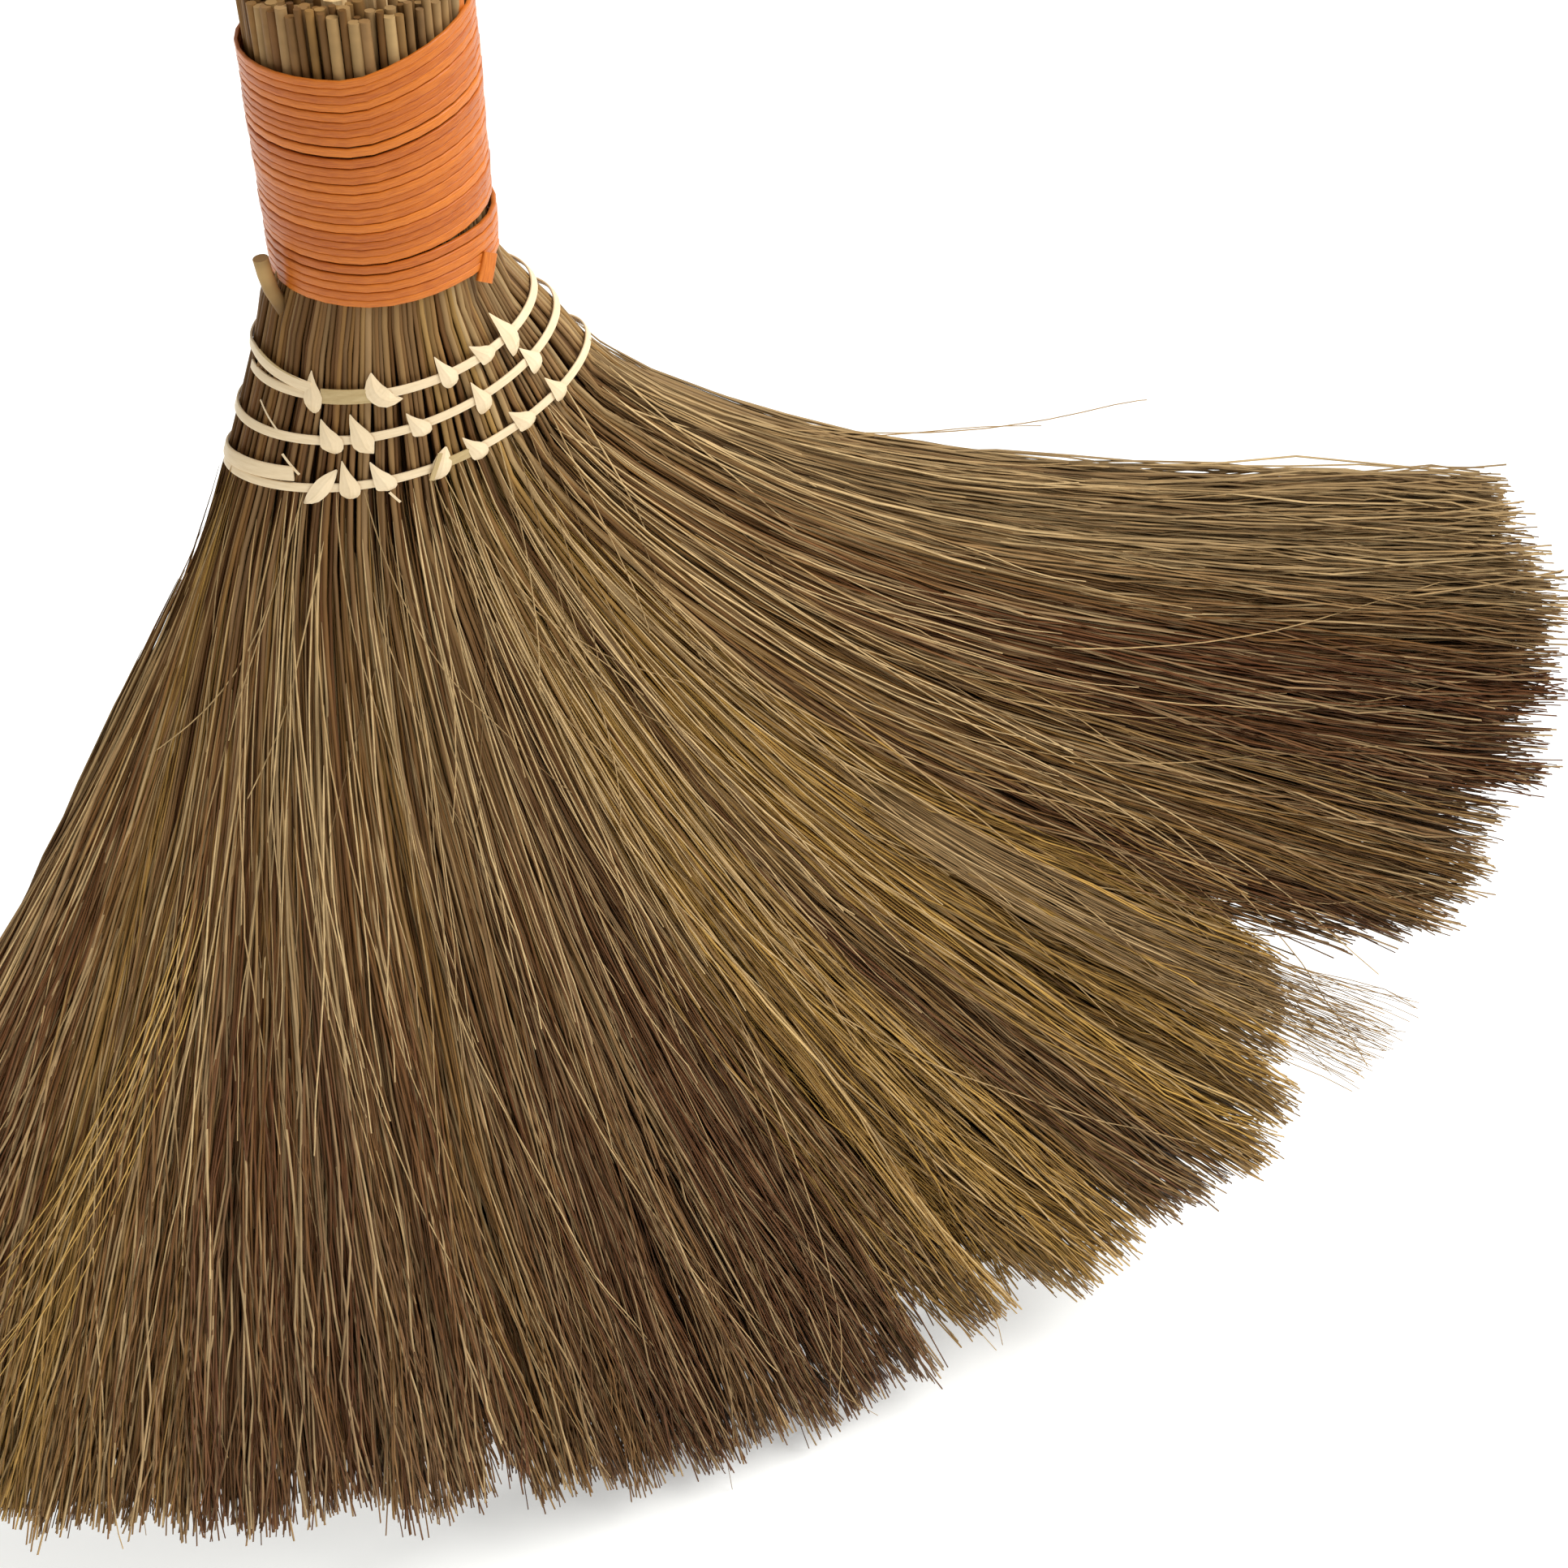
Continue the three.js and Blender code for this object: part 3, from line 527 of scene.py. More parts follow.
def grass(name, roughness, length_mm, patch_mm, pale_share):
    material, tree, shader = new_material(name)
    number = {n: add(tree, "ShaderNodeAttribute", attribute_name=n).outputs["Fac"]
              for n in ("gold", "umber", "tan", "fair", "dim", "shade", "along")}
    far = add(tree, "ShaderNodeMapRange", {"Value": number["along"], "From Min": -0.1,
                                           "From Max": 0.35})
    brown = add(tree, "ShaderNodeMath", {0: number["umber"], 1: far}, operation="MULTIPLY").outputs[0]
    dark = add(tree, "ShaderNodeMapRange", {"Value": number["shade"], "From Min": 0.38,
                                            "From Max": 0.0, "To Max": 0.7}).outputs[0]
    pale = add(tree, "ShaderNodeMapRange", {"Value": number["shade"], "From Min": 0.7,
                                            "From Max": 1.0, "To Max": pale_share}).outputs[0]
    base = linear(OLIVE)
    for share, tone in ((number["gold"], GOLD), (brown, UMBER), (number["tan"], TAN),
                        (number["fair"], PALE), (dark, DARK), (pale, PALE), (number["dim"], SHADE_BROWN)):
        base = add(tree, "ShaderNodeMix", {0: share, 6: base, 7: linear(tone)},
                   data_type="RGBA").outputs[2]
    where = add(tree, "ShaderNodeMath", {0: number["along"], 1: length_mm / patch_mm},
                operation="MULTIPLY")
    whose = add(tree, "ShaderNodeMath", {0: number["shade"], 1: OWN_PATCHES}, operation="MULTIPLY")
    place = add(tree, "ShaderNodeCombineXYZ", {0: where, 1: whose})
    patch = add(tree, "ShaderNodeTexNoise", {"Vector": place, "Scale": 1.0, "Detail": 3.0,
                                             "Roughness": 0.6}).outputs["Fac"]
    light = add(tree, "ShaderNodeMapRange", {"Value": patch, "From Min": 0.3, "From Max": 0.7,
                                             "To Min": 0.75, "To Max": 1.2})
    final = add(tree, "ShaderNodeMix", {0: 1.0, 6: base, 7: light}, data_type="RGBA",
                blend_type="MULTIPLY")
    rough = add(tree, "ShaderNodeMapRange", {"Value": patch, "To Min": roughness - STRAW_ROUGH,
                                             "To Max": roughness + STRAW_ROUGH})
    fill(tree, shader, {"Base Color": final.outputs[2], "Roughness": rough,
                        "Specular IOR Level": STRAW_GLOSS, "IOR": STRAW_IOR})
    return material


# Fine strands look dull, with weathered patches every 17 mm and many pale ones among them.
strand_grass = grass("dried_grass_strand", 0.52, 442, 17, 0.75)
# The skin of a stalk is smoother, so it keeps a soft shine and wider patches.
stalk_grass = grass("dried_grass_stalk", 0.48, 270, 30, 0.3)
# Cut ends show short pieces of the same skin, with a patch or two on each.
top_grass = grass("cut_grass_stalk", 0.5, 20, 10, 0.3)
print("materials:", strand_grass.name, stalk_grass.name, top_grass.name)

# %% [markdown]
# Where the gold and the brown clumps lie is a matter of the harvest: handfuls of one field and age
# were laid side by side. Colours drawn at random would only give an even speckle, so a few soft bands
# across the fan set them, with some scatter from clump to clump.

# %% Bands of colour across the fan
# heading in degrees, half width, strength
GOLD_BANDS = ((-25, 4, 0.45), (-18, 2.5, 0.3), (0, 3, 0.15), (21.5, 2, 0.7), (26, 3.2, 1.0),
              (35.5, 3, 1.0), (41, 2, 0.95), (49, 2, 0.4))
UMBER_BANDS = ((-33, 6.5, 1.2), (-12, 6, 1.0), (-3, 5, 0.6), (6, 4.5, 1.0), (14, 4, 1.0),
               (31, 1.1, 0.7), (45, 1.3, 0.8), (54, 4, 1.0), (58.5, 3, 1.0))
TAN_BANDS = ((65, 2.5, 0.7), (70, 3.5, 0.9))
TONE_SCATTER, TAN_SCATTER = 0.25, 0.15


def bands(heading, rows, scatter):
    total = sum(strong * np.exp(-((heading - mid) / wide) ** 2) for mid, wide, strong in rows)
    return np.clip(total + rng.normal(0, scatter, len(heading)), 0, 1)


def colours(heading, dim):
    return {"gold": bands(heading, GOLD_BANDS, TONE_SCATTER),
            "umber": bands(heading, UMBER_BANDS, TONE_SCATTER),
            "tan": bands(heading, TAN_BANDS, TAN_SCATTER), "dim": dim}


print(len(GOLD_BANDS), "gold,", len(UMBER_BANDS), "brown and", len(TAN_BANDS), "tan bands")

# %% [markdown]
# Now the fan itself. Clumps stand in layers through its thickness, front to back, and each clump is
# one line copied many times. The strands branch off at different heights, as they do on real grass,
# so the neck stays open and the tips are full. The inner layers have fewer strands, darkened with
# painted shade, and the fan is kept in sixteen pieces to stay light. Neighbours within one tuft end
# together.

# %% Fan of strands
SHELLS = {   # layers through the thickness, strands in a clump, painted shade of each layer
    "outer": ((1.0, 0.88), 20, (0.0, 0.12)), "inner": ((0.7, 0.48, 0.2), 10, (0.3, 0.4, 0.4))}
CLUMPS = 118                     # in one layer, from edge to edge
EDGE_LEFT, EDGE_RIGHT = -35.5, 70.0
EDGE_INSET = 1.5                 # keeps the outermost strands under the last hoop
BUNCH_CUTS = (-20, 10.5, 47)     # headings where one bunch ends and the next begins
STEP_SCATTER, LAYER_SCATTER, TRIM_SCATTER = 0.4, 0.06, 0.02
CLUMP_SWAY, CLUMP_SHADOW = 3.2, 0.4
TUFT_STEP, TUFT_CUT = 1.7, 0.035             # degrees, share of the reach
FAN_SEED = 11
FAN_SIZES = {"Root Spread": 2.6 * MM, "Tip Spread": 6.5 * MM, "Depth Share": 0.4,
             "Wave": 18.0 * MM, "Wave Length": 62 * MM, "Root Radius": 0.33 * MM,
             "Tip Radius": 0.27 * MM, "Branch": 0.26, "Trim": 0.045, "Point": 0.08,
             "Floor": 0.5 * MM, "Sides": 3, "Material": strand_grass}
tuft_at = np.arange(EDGE_LEFT, EDGE_RIGHT + TUFT_STEP, TUFT_STEP)
tuft_cut = rng.uniform(0, TUFT_CUT, len(tuft_at))


def clump_headings(layers):
    steps = [np.arange(CLUMPS) + 0.5 * (n % 2) + rng.uniform(-STEP_SCATTER, STEP_SCATTER, CLUMPS)
             for n in range(layers)]
    return EDGE_LEFT + (EDGE_RIGHT - EDGE_LEFT) * np.clip(np.concatenate(steps) / CLUMPS, 0, 1)


for sign, side_name in ((-1, "front"), (1, "back")):
    for shell, (depths, strands, depth_shades) in SHELLS.items():
        heads = clump_headings(len(depths))
        layers = np.repeat(depths, CLUMPS) + rng.uniform(-LAYER_SCATTER, LAYER_SCATTER, len(heads))
        trims = 1 - np.interp(heads, tuft_at, tuft_cut) - TRIM_SCATTER * rng.random(len(heads))
        lines = strand_lines(heads, sign * np.clip(layers, 0, 1), trims, FAN_START, EDGE_INSET)
        lines = swayed(stations(lines, STRAND_STATIONS, STRAND_POWER), CLUMP_SWAY)
        shadow = CLUMP_SHADOW * rng.random(len(heads)) ** 2
        # Painted shade: the inner layers are darker, and some clumps get a random darkening on top.
        tones = colours(heads, np.repeat(depth_shades, CLUMPS) + shadow)
        bunch = np.digitize(heads, BUNCH_CUTS)
        for n in range(len(BUNCH_CUTS) + 1):
            mine = bunch == n
            piece = grow(f"fan_{n + 1}_{side_name}_{shell}", lines[mine], CLUMP,
                         {**FAN_SIZES, "Strands": strands, "Seed": FAN_SEED + n},
                         {label: tone[mine] for label, tone in tones.items()})
            settle(piece, "grass_strands", f"bristle_fan_{n + 1}")

# %% [markdown]
# In the neck the stalks are stouter and lie side by side. They run on past the last row and get lost
# among the strands. A ribbed sleeve would do from far away, but close up each stalk has its own edge
# and shade. The same tree makes them, with one copy a line and no branching.

# %% Stalks of the neck
NECK_RINGS = (   # layer, stalks, inset in mm and painted shade of each ring
    (1.0, 180, 0.5, 0.15), (0.94, 150, 1.5, 0.5), (0.84, 120, 2.6, 0.85))
NECK_EDGE = 0.997                # of the half width
NECK_FIRST, NECK_LAST = 8, 86    # the points of a line that are kept
NECK_STATIONS, NECK_POWER = 20, 1.3
NECK_SWAY, NECK_SHADOW, NECK_GOLD = 2.4, 0.55, 0.45
NECK_TONES = {"umber": (0.45, -0.012, 0.15), "tan": (0.05, 0.006, 0.2)}   # middle, slope, scatter
NECK_SIZES = {"Strands": 1, "Root Spread": 0.25 * MM, "Tip Spread": 2.2 * MM, "Depth Share": 0.35,
              "Wave": 4.0 * MM, "Wave Length": 60 * MM, "Root Radius": 0.58 * MM,
              "Tip Radius": 0.26 * MM, "Branch": 0.0, "Trim": 0.4, "Point": 0.01,
              "Floor": 0.5 * MM, "Sides": 6, "Seed": 5, "Material": stalk_grass}


def neck_lines(heads, layers, inset):
    lines = strand_lines(heads, layers, np.ones(len(heads)), NECK_START, inset, NECK_PASSES)
    return stations(lines[:, NECK_FIRST:NECK_LAST], NECK_STATIONS, NECK_POWER)


heads, neck, depth_shades = [], [], []
for layer, count, inset, dim in NECK_RINGS:
    turn = (np.arange(count) + rng.uniform(-STEP_SCATTER, STEP_SCATTER, count)) * 2 * np.pi / count
    heads.append(np.interp(np.cos(turn) * NECK_EDGE, ACROSS, HEADING))
    neck.append(neck_lines(heads[-1], np.sign(np.sin(turn)) * layer, inset))
    depth_shades.append(np.full(count, dim))
heads, neck, depth_shades = (np.concatenate(x) for x in (heads, neck, depth_shades))
facing = np.sqrt(1 - np.interp(heads, HEADING, ACROSS) ** 2)     # no sway outward at the sides
neck = swayed(neck, NECK_SWAY * facing[:, None])
# The inner rings are painted darker, as shade deep in the neck.
tones = colours(heads, depth_shades + NECK_SHADOW * rng.random(len(heads)) ** 2)
tones["gold"] = tones["gold"] * NECK_GOLD
for label, (middle, slope, scatter) in NECK_TONES.items():
    tones[label] = np.clip(middle + slope * heads + rng.normal(0, scatter, len(heads)), 0, 1)
print(len(neck), "stalks round the neck")

# %% [markdown]
# A real neck is packed with stalks right through. Three rings alone would let light through here and
# there, so a plain core of stalks stands behind them, painted dark brown as shade.

# %% Core of the neck
CORE_STALKS, CORE_EDGE, CORE_LAYER, CORE_INSET = 66, 0.95, 0.6, 3.0
# The core's brown is its own colour, its dim of 0.8 is painted shade.
CORE_TONES_AND_SHADE = {"gold": 0.0, "umber": 0.5, "tan": 0.0, "dim": 0.8}
core_across = np.tile(np.linspace(-CORE_EDGE, CORE_EDGE, CORE_STALKS), 2)
core = neck_lines(np.interp(core_across, ACROSS, HEADING),
                  np.repeat((-CORE_LAYER, CORE_LAYER), CORE_STALKS), CORE_INSET)
neck = np.concatenate([neck, core])
for label, tone in CORE_TONES_AND_SHADE.items():
    tones[label] = np.append(tones[label], np.full(len(core), tone))
piece = grow("neck_stalks", neck, CLUMP, NECK_SIZES, tones)
settle(piece, "grass_stalks", *(f"stalk_bunch_{n}" for n in range(1, 5)))

# %% [markdown]
# Above the binding the stalks end in rings of cut tops, stouter than below. They could be one block
# with a rough top, but single ends catch the light one by one. Only these ends are made: what the
# cord hides would never be seen. Two gaps stay free for the pegs.

# %% Cut tops of the stalks
TOP_D = 1.85
TOP_RINGS = ((19.8, 63), (17.9, 57), (16.0, 51), (14.1, 45), (12.2, 39), (10.5, 33))
TOP_LOW, TOP_RISE, TOP_FALL = 38.0, 12.0, 2.5      # start, height above the binding, scatter
INNER_R, INNER_DROP = 15, 2.0                      # rings inside this radius end lower
TURN_SCATTER, LEAN_OUT, LEAN_SCATTER = 0.15, 0.2, 0.25
TOP_POINTS = 6
TOP_GOLD, TOP_UMBER, TOP_DIM, TOP_WIDE = 0.25, 0.8, 0.3, 40
WEDGE_R, WEDGE_D, WEDGE_ROOM = 11.9, 4.6, 0.1
WEDGE_TURNS = (-0.55, 0.06)                        # radians from the front
wedges = np.array([(WEDGE_R * np.sin(t), -WEDGE_R * np.cos(t)) for t in WEDGE_TURNS])
tops = []
for radius, count in TOP_RINGS:
    for k in range(count):
        place = k + 0.5 * (radius > INNER_R) + rng.uniform(-TURN_SCATTER, TURN_SCATTER)
        turn = place * 2 * np.pi / count
        foot = np.array([np.cos(turn), np.sin(turn)]) * radius
        if np.linalg.norm(wedges - foot, axis=1).min() < (WEDGE_D + TOP_D) / 2 + WEDGE_ROOM:
            continue
        lean = foot / radius * LEAN_OUT + rng.normal(0, LEAN_SCATTER, 2)
        height = BIND_H + TOP_RISE - TOP_FALL * rng.random() - INNER_DROP * (radius < INNER_R)
        tops.append(np.linspace(np.append(foot, TOP_LOW), np.append(foot + lean, height), TOP_POINTS))
tops = np.array(tops)
TOP_SIZES = {**NECK_SIZES, "Root Spread": 0.0, "Tip Spread": 0.0, "Wave": 0.0, "Trim": 0.0,
             "Root Radius": TOP_D / 2 * MM, "Tip Radius": TOP_D / 2 * MM, "Sides": 8,
             "Material": top_grass}
# Tops are painted browner at the left and tan at the right: partly their own colour, partly painted
# light from the right.
to_right = np.clip(0.5 + tops[:, 0, 0] / TOP_WIDE, 0, 1)
piece = grow("stalk_tops", tops, CLUMP, TOP_SIZES,
             {"gold": rng.random(len(tops)) * TOP_GOLD,
              "umber": TOP_UMBER * (1 - to_right) * rng.random(len(tops)),
              "tan": to_right * rng.random(len(tops)), "dim": TOP_DIM * rng.random(len(tops))})
settle(piece, "grass_stalks")

# %% [markdown]
# Cord and rattan are strips that follow a path. A curve with a bevel could give them, but it twists
# where the path bends. So the second tree sweeps a flat section along any line, and a point's own
# vector says which way the edge of the strip faces. A number narrows it. A rounded oblong suits the
# cord and the hoops, a kite with a sharp ridge suits a fold.

# %% Node trees for strips
CORNER_POINTS = 3


def strip_tree(name, folded):
    tree, size = new_tree(name, (("Width", "Float"), ("Thickness", "Float"), ("Corner", "Float"),
                                 ("Material", "Material")))
    lines = add(tree, "GeometryNodeMeshToCurve", {"Mesh": size["Lines"]})
    edge = add(tree, "GeometryNodeInputNamedAttribute", {"Name": "edge"}, data_type="FLOAT_VECTOR")
    turned = add(tree, "GeometryNodeSetCurveNormal", {"Curve": lines, "Normal": edge}, mode="FREE")
    if folded:
        outline = add(tree, "GeometryNodeCurvePrimitiveQuadrilateral",
                      {"Width": size["Width"], "Bottom Height": size["Corner"],
                       "Top Height": size["Thickness"]}, mode="KITE")
    else:
        block = add(tree, "GeometryNodeCurvePrimitiveQuadrilateral",
                    {"Width": size["Width"], "Height": size["Thickness"]})
        outline = add(tree, "GeometryNodeFilletCurve",
                      {"Curve": block, "Count": CORNER_POINTS, "Radius": size["Corner"]}, mode="POLY")
    narrow = add(tree, "GeometryNodeInputNamedAttribute", {"Name": "narrow"}, data_type="FLOAT")
    spline = add(tree, "GeometryNodeSplineParameter").outputs
    kept = add(tree, "GeometryNodeStoreNamedAttribute",
               {"Geometry": turned, "Name": "length", "Value": spline["Length"]})
    marked = add(tree, "GeometryNodeStoreNamedAttribute",
                 {"Geometry": outline, "Name": "around", "Value": spline["Factor"]})
    swept = add(tree, "GeometryNodeCurveToMesh", {"Curve": kept, "Profile Curve": marked,
                                                  "Scale": narrow, "Fill Caps": True})
    close_tree(tree, swept, size["Material"], not folded)
    return tree


STRIP, FOLD = strip_tree("flat_strip", False), strip_tree("folded_strip", True)


def lay_strip(name, lines, faces, tree, sizes, narrow, tone):
    edge = np.cross(faces, np.gradient(lines, axis=1))
    edge = edge / np.linalg.norm(edge, axis=-1, keepdims=True)
    return grow(name, lines, tree, sizes, {"narrow": narrow, "tone": tone}, {"edge": edge})


print("strip trees:", STRIP.name, FOLD.name)

# %% [markdown]
# String, rattan and bark are all bundles of fibres that run along the strip. So one function makes
# their finish: fine lines round the section, drawn out to streaks along it, give two tones, a slight
# relief and a gloss that changes with them. The spacing of fibres and streaks is in millimetres.

# %% Finish of strips
STRIP_GLOSS, STRIP_RELIEF, TONE_SHARE = 0.3, 0.5, 0.4
SMOOTHER, ROUGHER = 0.08, 0.12   # how far the roughness strays


def strip_material(name, tones, bump_mm, around_mm, fibre_mm, streak_mm, roughness):
    material, tree, shader = new_material(name)
    number = {n: add(tree, "ShaderNodeAttribute", attribute_name=n).outputs["Fac"]
              for n in ("around", "length", "tone")}
    rib = add(tree, "ShaderNodeMath", {0: number["around"], 1: around_mm / fibre_mm},
              operation="MULTIPLY")
    run = add(tree, "ShaderNodeMath", {0: number["length"], 1: 1 / (streak_mm * MM)},
              operation="MULTIPLY")
    place = add(tree, "ShaderNodeCombineXYZ", {0: rib, 1: run})
    grain = add(tree, "ShaderNodeTexNoise", {"Vector": place, "Scale": 1.0, "Detail": 4.0,
                                             "Roughness": 0.65}).outputs["Fac"]
    fade = add(tree, "ShaderNodeMapRange", {"Value": grain, "From Min": 0.3, "From Max": 0.7})
    share = add(tree, "ShaderNodeMix", {0: TONE_SHARE, 2: fade, 3: number["tone"]}, data_type="FLOAT")
    tint = add(tree, "ShaderNodeMix", {0: share, 6: linear(tones[0]), 7: linear(tones[1])},
               data_type="RGBA")
    relief = add(tree, "ShaderNodeBump", {"Height": grain, "Strength": STRIP_RELIEF,
                                          "Distance": bump_mm * MM})
    rough = add(tree, "ShaderNodeMapRange", {"Value": grain, "To Min": roughness - SMOOTHER,
                                             "To Max": roughness + ROUGHER})
    fill(tree, shader, {"Base Color": tint.outputs[2], "Normal": relief, "Roughness": rough,
                        "Specular IOR Level": STRIP_GLOSS})
    return material


# Drawn polyester is smooth and a little glossy, with fibres drawn wide enough to show.
string = strip_material("orange_polyester_string", ("#A04812", "#E4842C"), 0.16, 5.16, 0.215, 4.0,
                        0.3)
# The outer skin of the vine is cream and half glossy, with fine lines along it.
rattan = strip_material("split_rattan", ("#DCC196", "#F6E0BC"), 0.08, 4.5, 0.5, 6.0, 0.36)
# Strips that keep their bark are olive and duller.
bark = strip_material("rattan_bark", ("#A88C58", "#D0B888"), 0.1, 4.2, 0.6, 5.0, 0.42)
print("materials:", string.name, rattan.name, bark.name)

# %% [markdown]
# The cord is a flat orange string, wound tightly from the top down. A Screw modifier would wind it
# quickly, but too evenly. A hand pulls the real one, so the turns climb toward the right, more so near
# the top, here and there a dark line shows between two turns, and the last ones lie flatter, which
# opens a gap at the right. So every turn gets a pitch and a bulge of its own.

# %% Path of the cord
CORD_TURNS, CORD_STEPS = 27, 32
CORD_R = 21.95
CORD_TOP, CORD_LOW = 46.2, 0.9   # middle of the first and the last turn where they lie level
CLIMB_LOW, CLIMB_TOP = 2.3, 4.1  # climb of a turn at the rim, and how much more at the top
CLIMB_WIDE = 0.35                # a turn climbs along more than half of its way
FLAT_TURNS, FLAT_OVER, FLAT_CLIMB, FLAT_BULGE = 5, 0.5, 0.75, 0.6     # the last turns
LOOSE_TURNS, LOOSE_GAP = [8, 9, 22], 1.28
GAP_RANGE, WIDTH_RANGE, BULGE_RANGE = (0.8, 1.15), (0.88, 1.04), (-0.12, 0.14)
RIGHT_SIDE = math.radians(-26)   # as the camera sees it


def outward(turn):
    return np.stack([np.cos(turn), np.sin(turn), 0 * turn], -1)


turn_at = np.arange(CORD_TURNS * CORD_STEPS + 1) / CORD_STEPS
whole_turns = np.arange(CORD_TURNS + 1)
theta = RIGHT_SIDE + 2 * np.pi * turn_at
gaps = rng.uniform(*GAP_RANGE, CORD_TURNS)
gaps[LOOSE_TURNS] = LOOSE_GAP
gaps *= (CORD_TOP - CORD_LOW) / gaps.sum()
fall = CORD_TOP - np.interp(turn_at, whole_turns, np.concatenate([[0], np.cumsum(gaps)]))
climb = np.clip(np.cos(theta) + CLIMB_WIDE, 0, None)
late = np.clip((turn_at - CORD_TURNS + FLAT_TURNS) / FLAT_OVER, 0, 1)
climb = climb - late * np.clip(climb - FLAT_CLIMB, 0, None)
own = np.interp(turn_at, whole_turns[:-1] + 0.5, gaps) * CORD_TURNS / (CORD_TOP - CORD_LOW)
narrow = np.clip(own, *WIDTH_RANGE) * (1 + climb * CLIMB_TOP / CORD_TOP)
bulge = np.interp(turn_at, whole_turns, rng.uniform(*BULGE_RANGE, CORD_TURNS + 1))
bulge = bulge + FLAT_BULGE * late * np.clip(np.cos(theta - RIGHT_SIDE), 0, 1)
winding = outward(theta) * (CORD_R + bulge)[:, None]
winding[:, 2] = fall + climb * (CLIMB_LOW + CLIMB_TOP * fall / CORD_TOP)
cord_length = np.linalg.norm(np.diff(winding, axis=0), axis=1).sum()
print("cord of", round(cord_length * MM, 2), "m in", CORD_TURNS, "turns")

# %% [markdown]
# Now the string is swept along that path. One sleeve with painted lines would be lighter, but between
# real turns there are real shadows. Each turn has a tone of its own, as sun and hands fade a cord.

# %% Orange cord
CORD_SIZES = {"Width": 1.68 * MM, "Thickness": 0.9 * MM, "Corner": 0.33 * MM, "Material": string}
turn_tones = np.repeat(rng.random(CORD_TURNS + 1), CORD_STEPS)[:len(theta)]
piece = lay_strip("binding_winding", winding[None], outward(theta)[None], STRIP, CORD_SIZES,
                  narrow[None], turn_tones[None])
settle(piece, "orange_cord", "binding_cord")

# %% [markdown]
# The two ends of the cord show at the right: the last one is tucked under the bottom turns and its
# cut end hangs out, and the first one comes up between the stalks and the top turn. They are short
# strips of their own, because the winding under them would have to bend too sharply.

# %% Cord ends
TAILS = (   # turn in degrees, height, distance from the winding's middle, each from start to end
    ((-46, -53), (4.6, -0.4), (1.4, 1.3)), ((-43, -40), (45, 59), (-0.9, -0.75)))
TAIL_POINTS, TAIL_WIDTHS, TAIL_TONE = 10, (2.1, 1.0), 0.6
TAIL_TWIST = math.radians(25)
tails, faces = [], []
for turns, heights, offsets in TAILS:
    turn = np.radians(np.linspace(*turns, TAIL_POINTS))
    tail = outward(turn) * (CORD_R + np.linspace(*offsets, TAIL_POINTS))[:, None]
    tail[:, 2] = np.linspace(*heights, TAIL_POINTS)
    tails.append(tail)
    faces.append(outward(turn - TAIL_TWIST))
piece = lay_strip("cord_ends", np.array(tails), np.array(faces), STRIP,
                  {**CORD_SIZES, "Thickness": 0.55 * MM, "Corner": 0.15 * MM},
                  np.array(TAIL_WIDTHS), np.full(len(tails), TAIL_TONE))
settle(piece, "orange_cord")

# %% [markdown]
# The rattan rows lie on the wall of the neck. They could be shrunk onto the stalks with a modifier,
# but the stalks are too rough for that. So one function gives a point of the smooth wall from its
# drop below the rim and its turn round the pole, another the directions there: down, along and out.

# %% The wall of the neck
DROP_STEP, TURN_STEP = 0.5, 0.01             # small steps that find the directions


def wall(drop, turn):
    rows = np.array(LEVELS, float)
    c, a, b, rise, sag = (np.interp(drop, -rows[:, 0], rows[:, k]) for k in range(1, 6))
    cos, sin = np.cos(turn), np.sin(turn)
    return np.stack([c + a * cos, b * sin, -drop + rise * cos - sag * sin ** 2], -1)


def wall_frame(drop, turn):
    drop, turn = np.broadcast_arrays(np.asarray(drop, float), np.asarray(turn, float))
    down = wall(drop + DROP_STEP, turn) - wall(drop - DROP_STEP, turn)
    along = wall(drop, turn + TURN_STEP) - wall(drop, turn - TURN_STEP)
    out = np.cross(along, down)
    out = out * np.sign((out * outward(turn)).sum(-1, keepdims=True))
    unit = [v / np.linalg.norm(v, axis=-1, keepdims=True) for v in (down, along, out)]
    return wall(drop, turn), *unit


print("wall at the front of row 2, mm:", wall_frame(ROWS[1][0], -np.pi / 2)[0].round(1))

# %% [markdown]
# Split rattan is the glossy outer skin of a vine, cut into flat strips. It is cream coloured, bends
# without breaking and keeps sharp folds. Each row has a strip laid right round the neck. A closed ring
# would be simpler, but the real strip overlaps itself, and its first end lies above the rest.

# %% Rattan hoops
HOOP_OFF, HOOP_LIFT = 0.8, 0.3   # over the wall, and more where it lies on itself
HOOP_SWEEP, HOOP_POINTS = 405, 160           # degrees, points
HOOP_TONE = 0.6
LIFT_AT, LAP_AT, WIDE_AT = (0, 40, 130, 220), (0, 45, 60), (0, 28, 60)    # degrees along the strip
HOOP_ENDS = (   # for each row: start, how it lies there, 40 and 130 degrees on, width of its end
    (221, (-1.3, -3.6, -1.5), 1.15), (100, (-1.9, -1.9, -1.0), 1.0), (220, (-2.8, -1.8, -0.8), 1.6))
HOOP_SIZES = {"Width": 2.0 * MM, "Thickness": 0.5 * MM, "Corner": 0.18 * MM, "Material": rattan}
swept = np.linspace(0, HOOP_SWEEP, HOOP_POINTS)
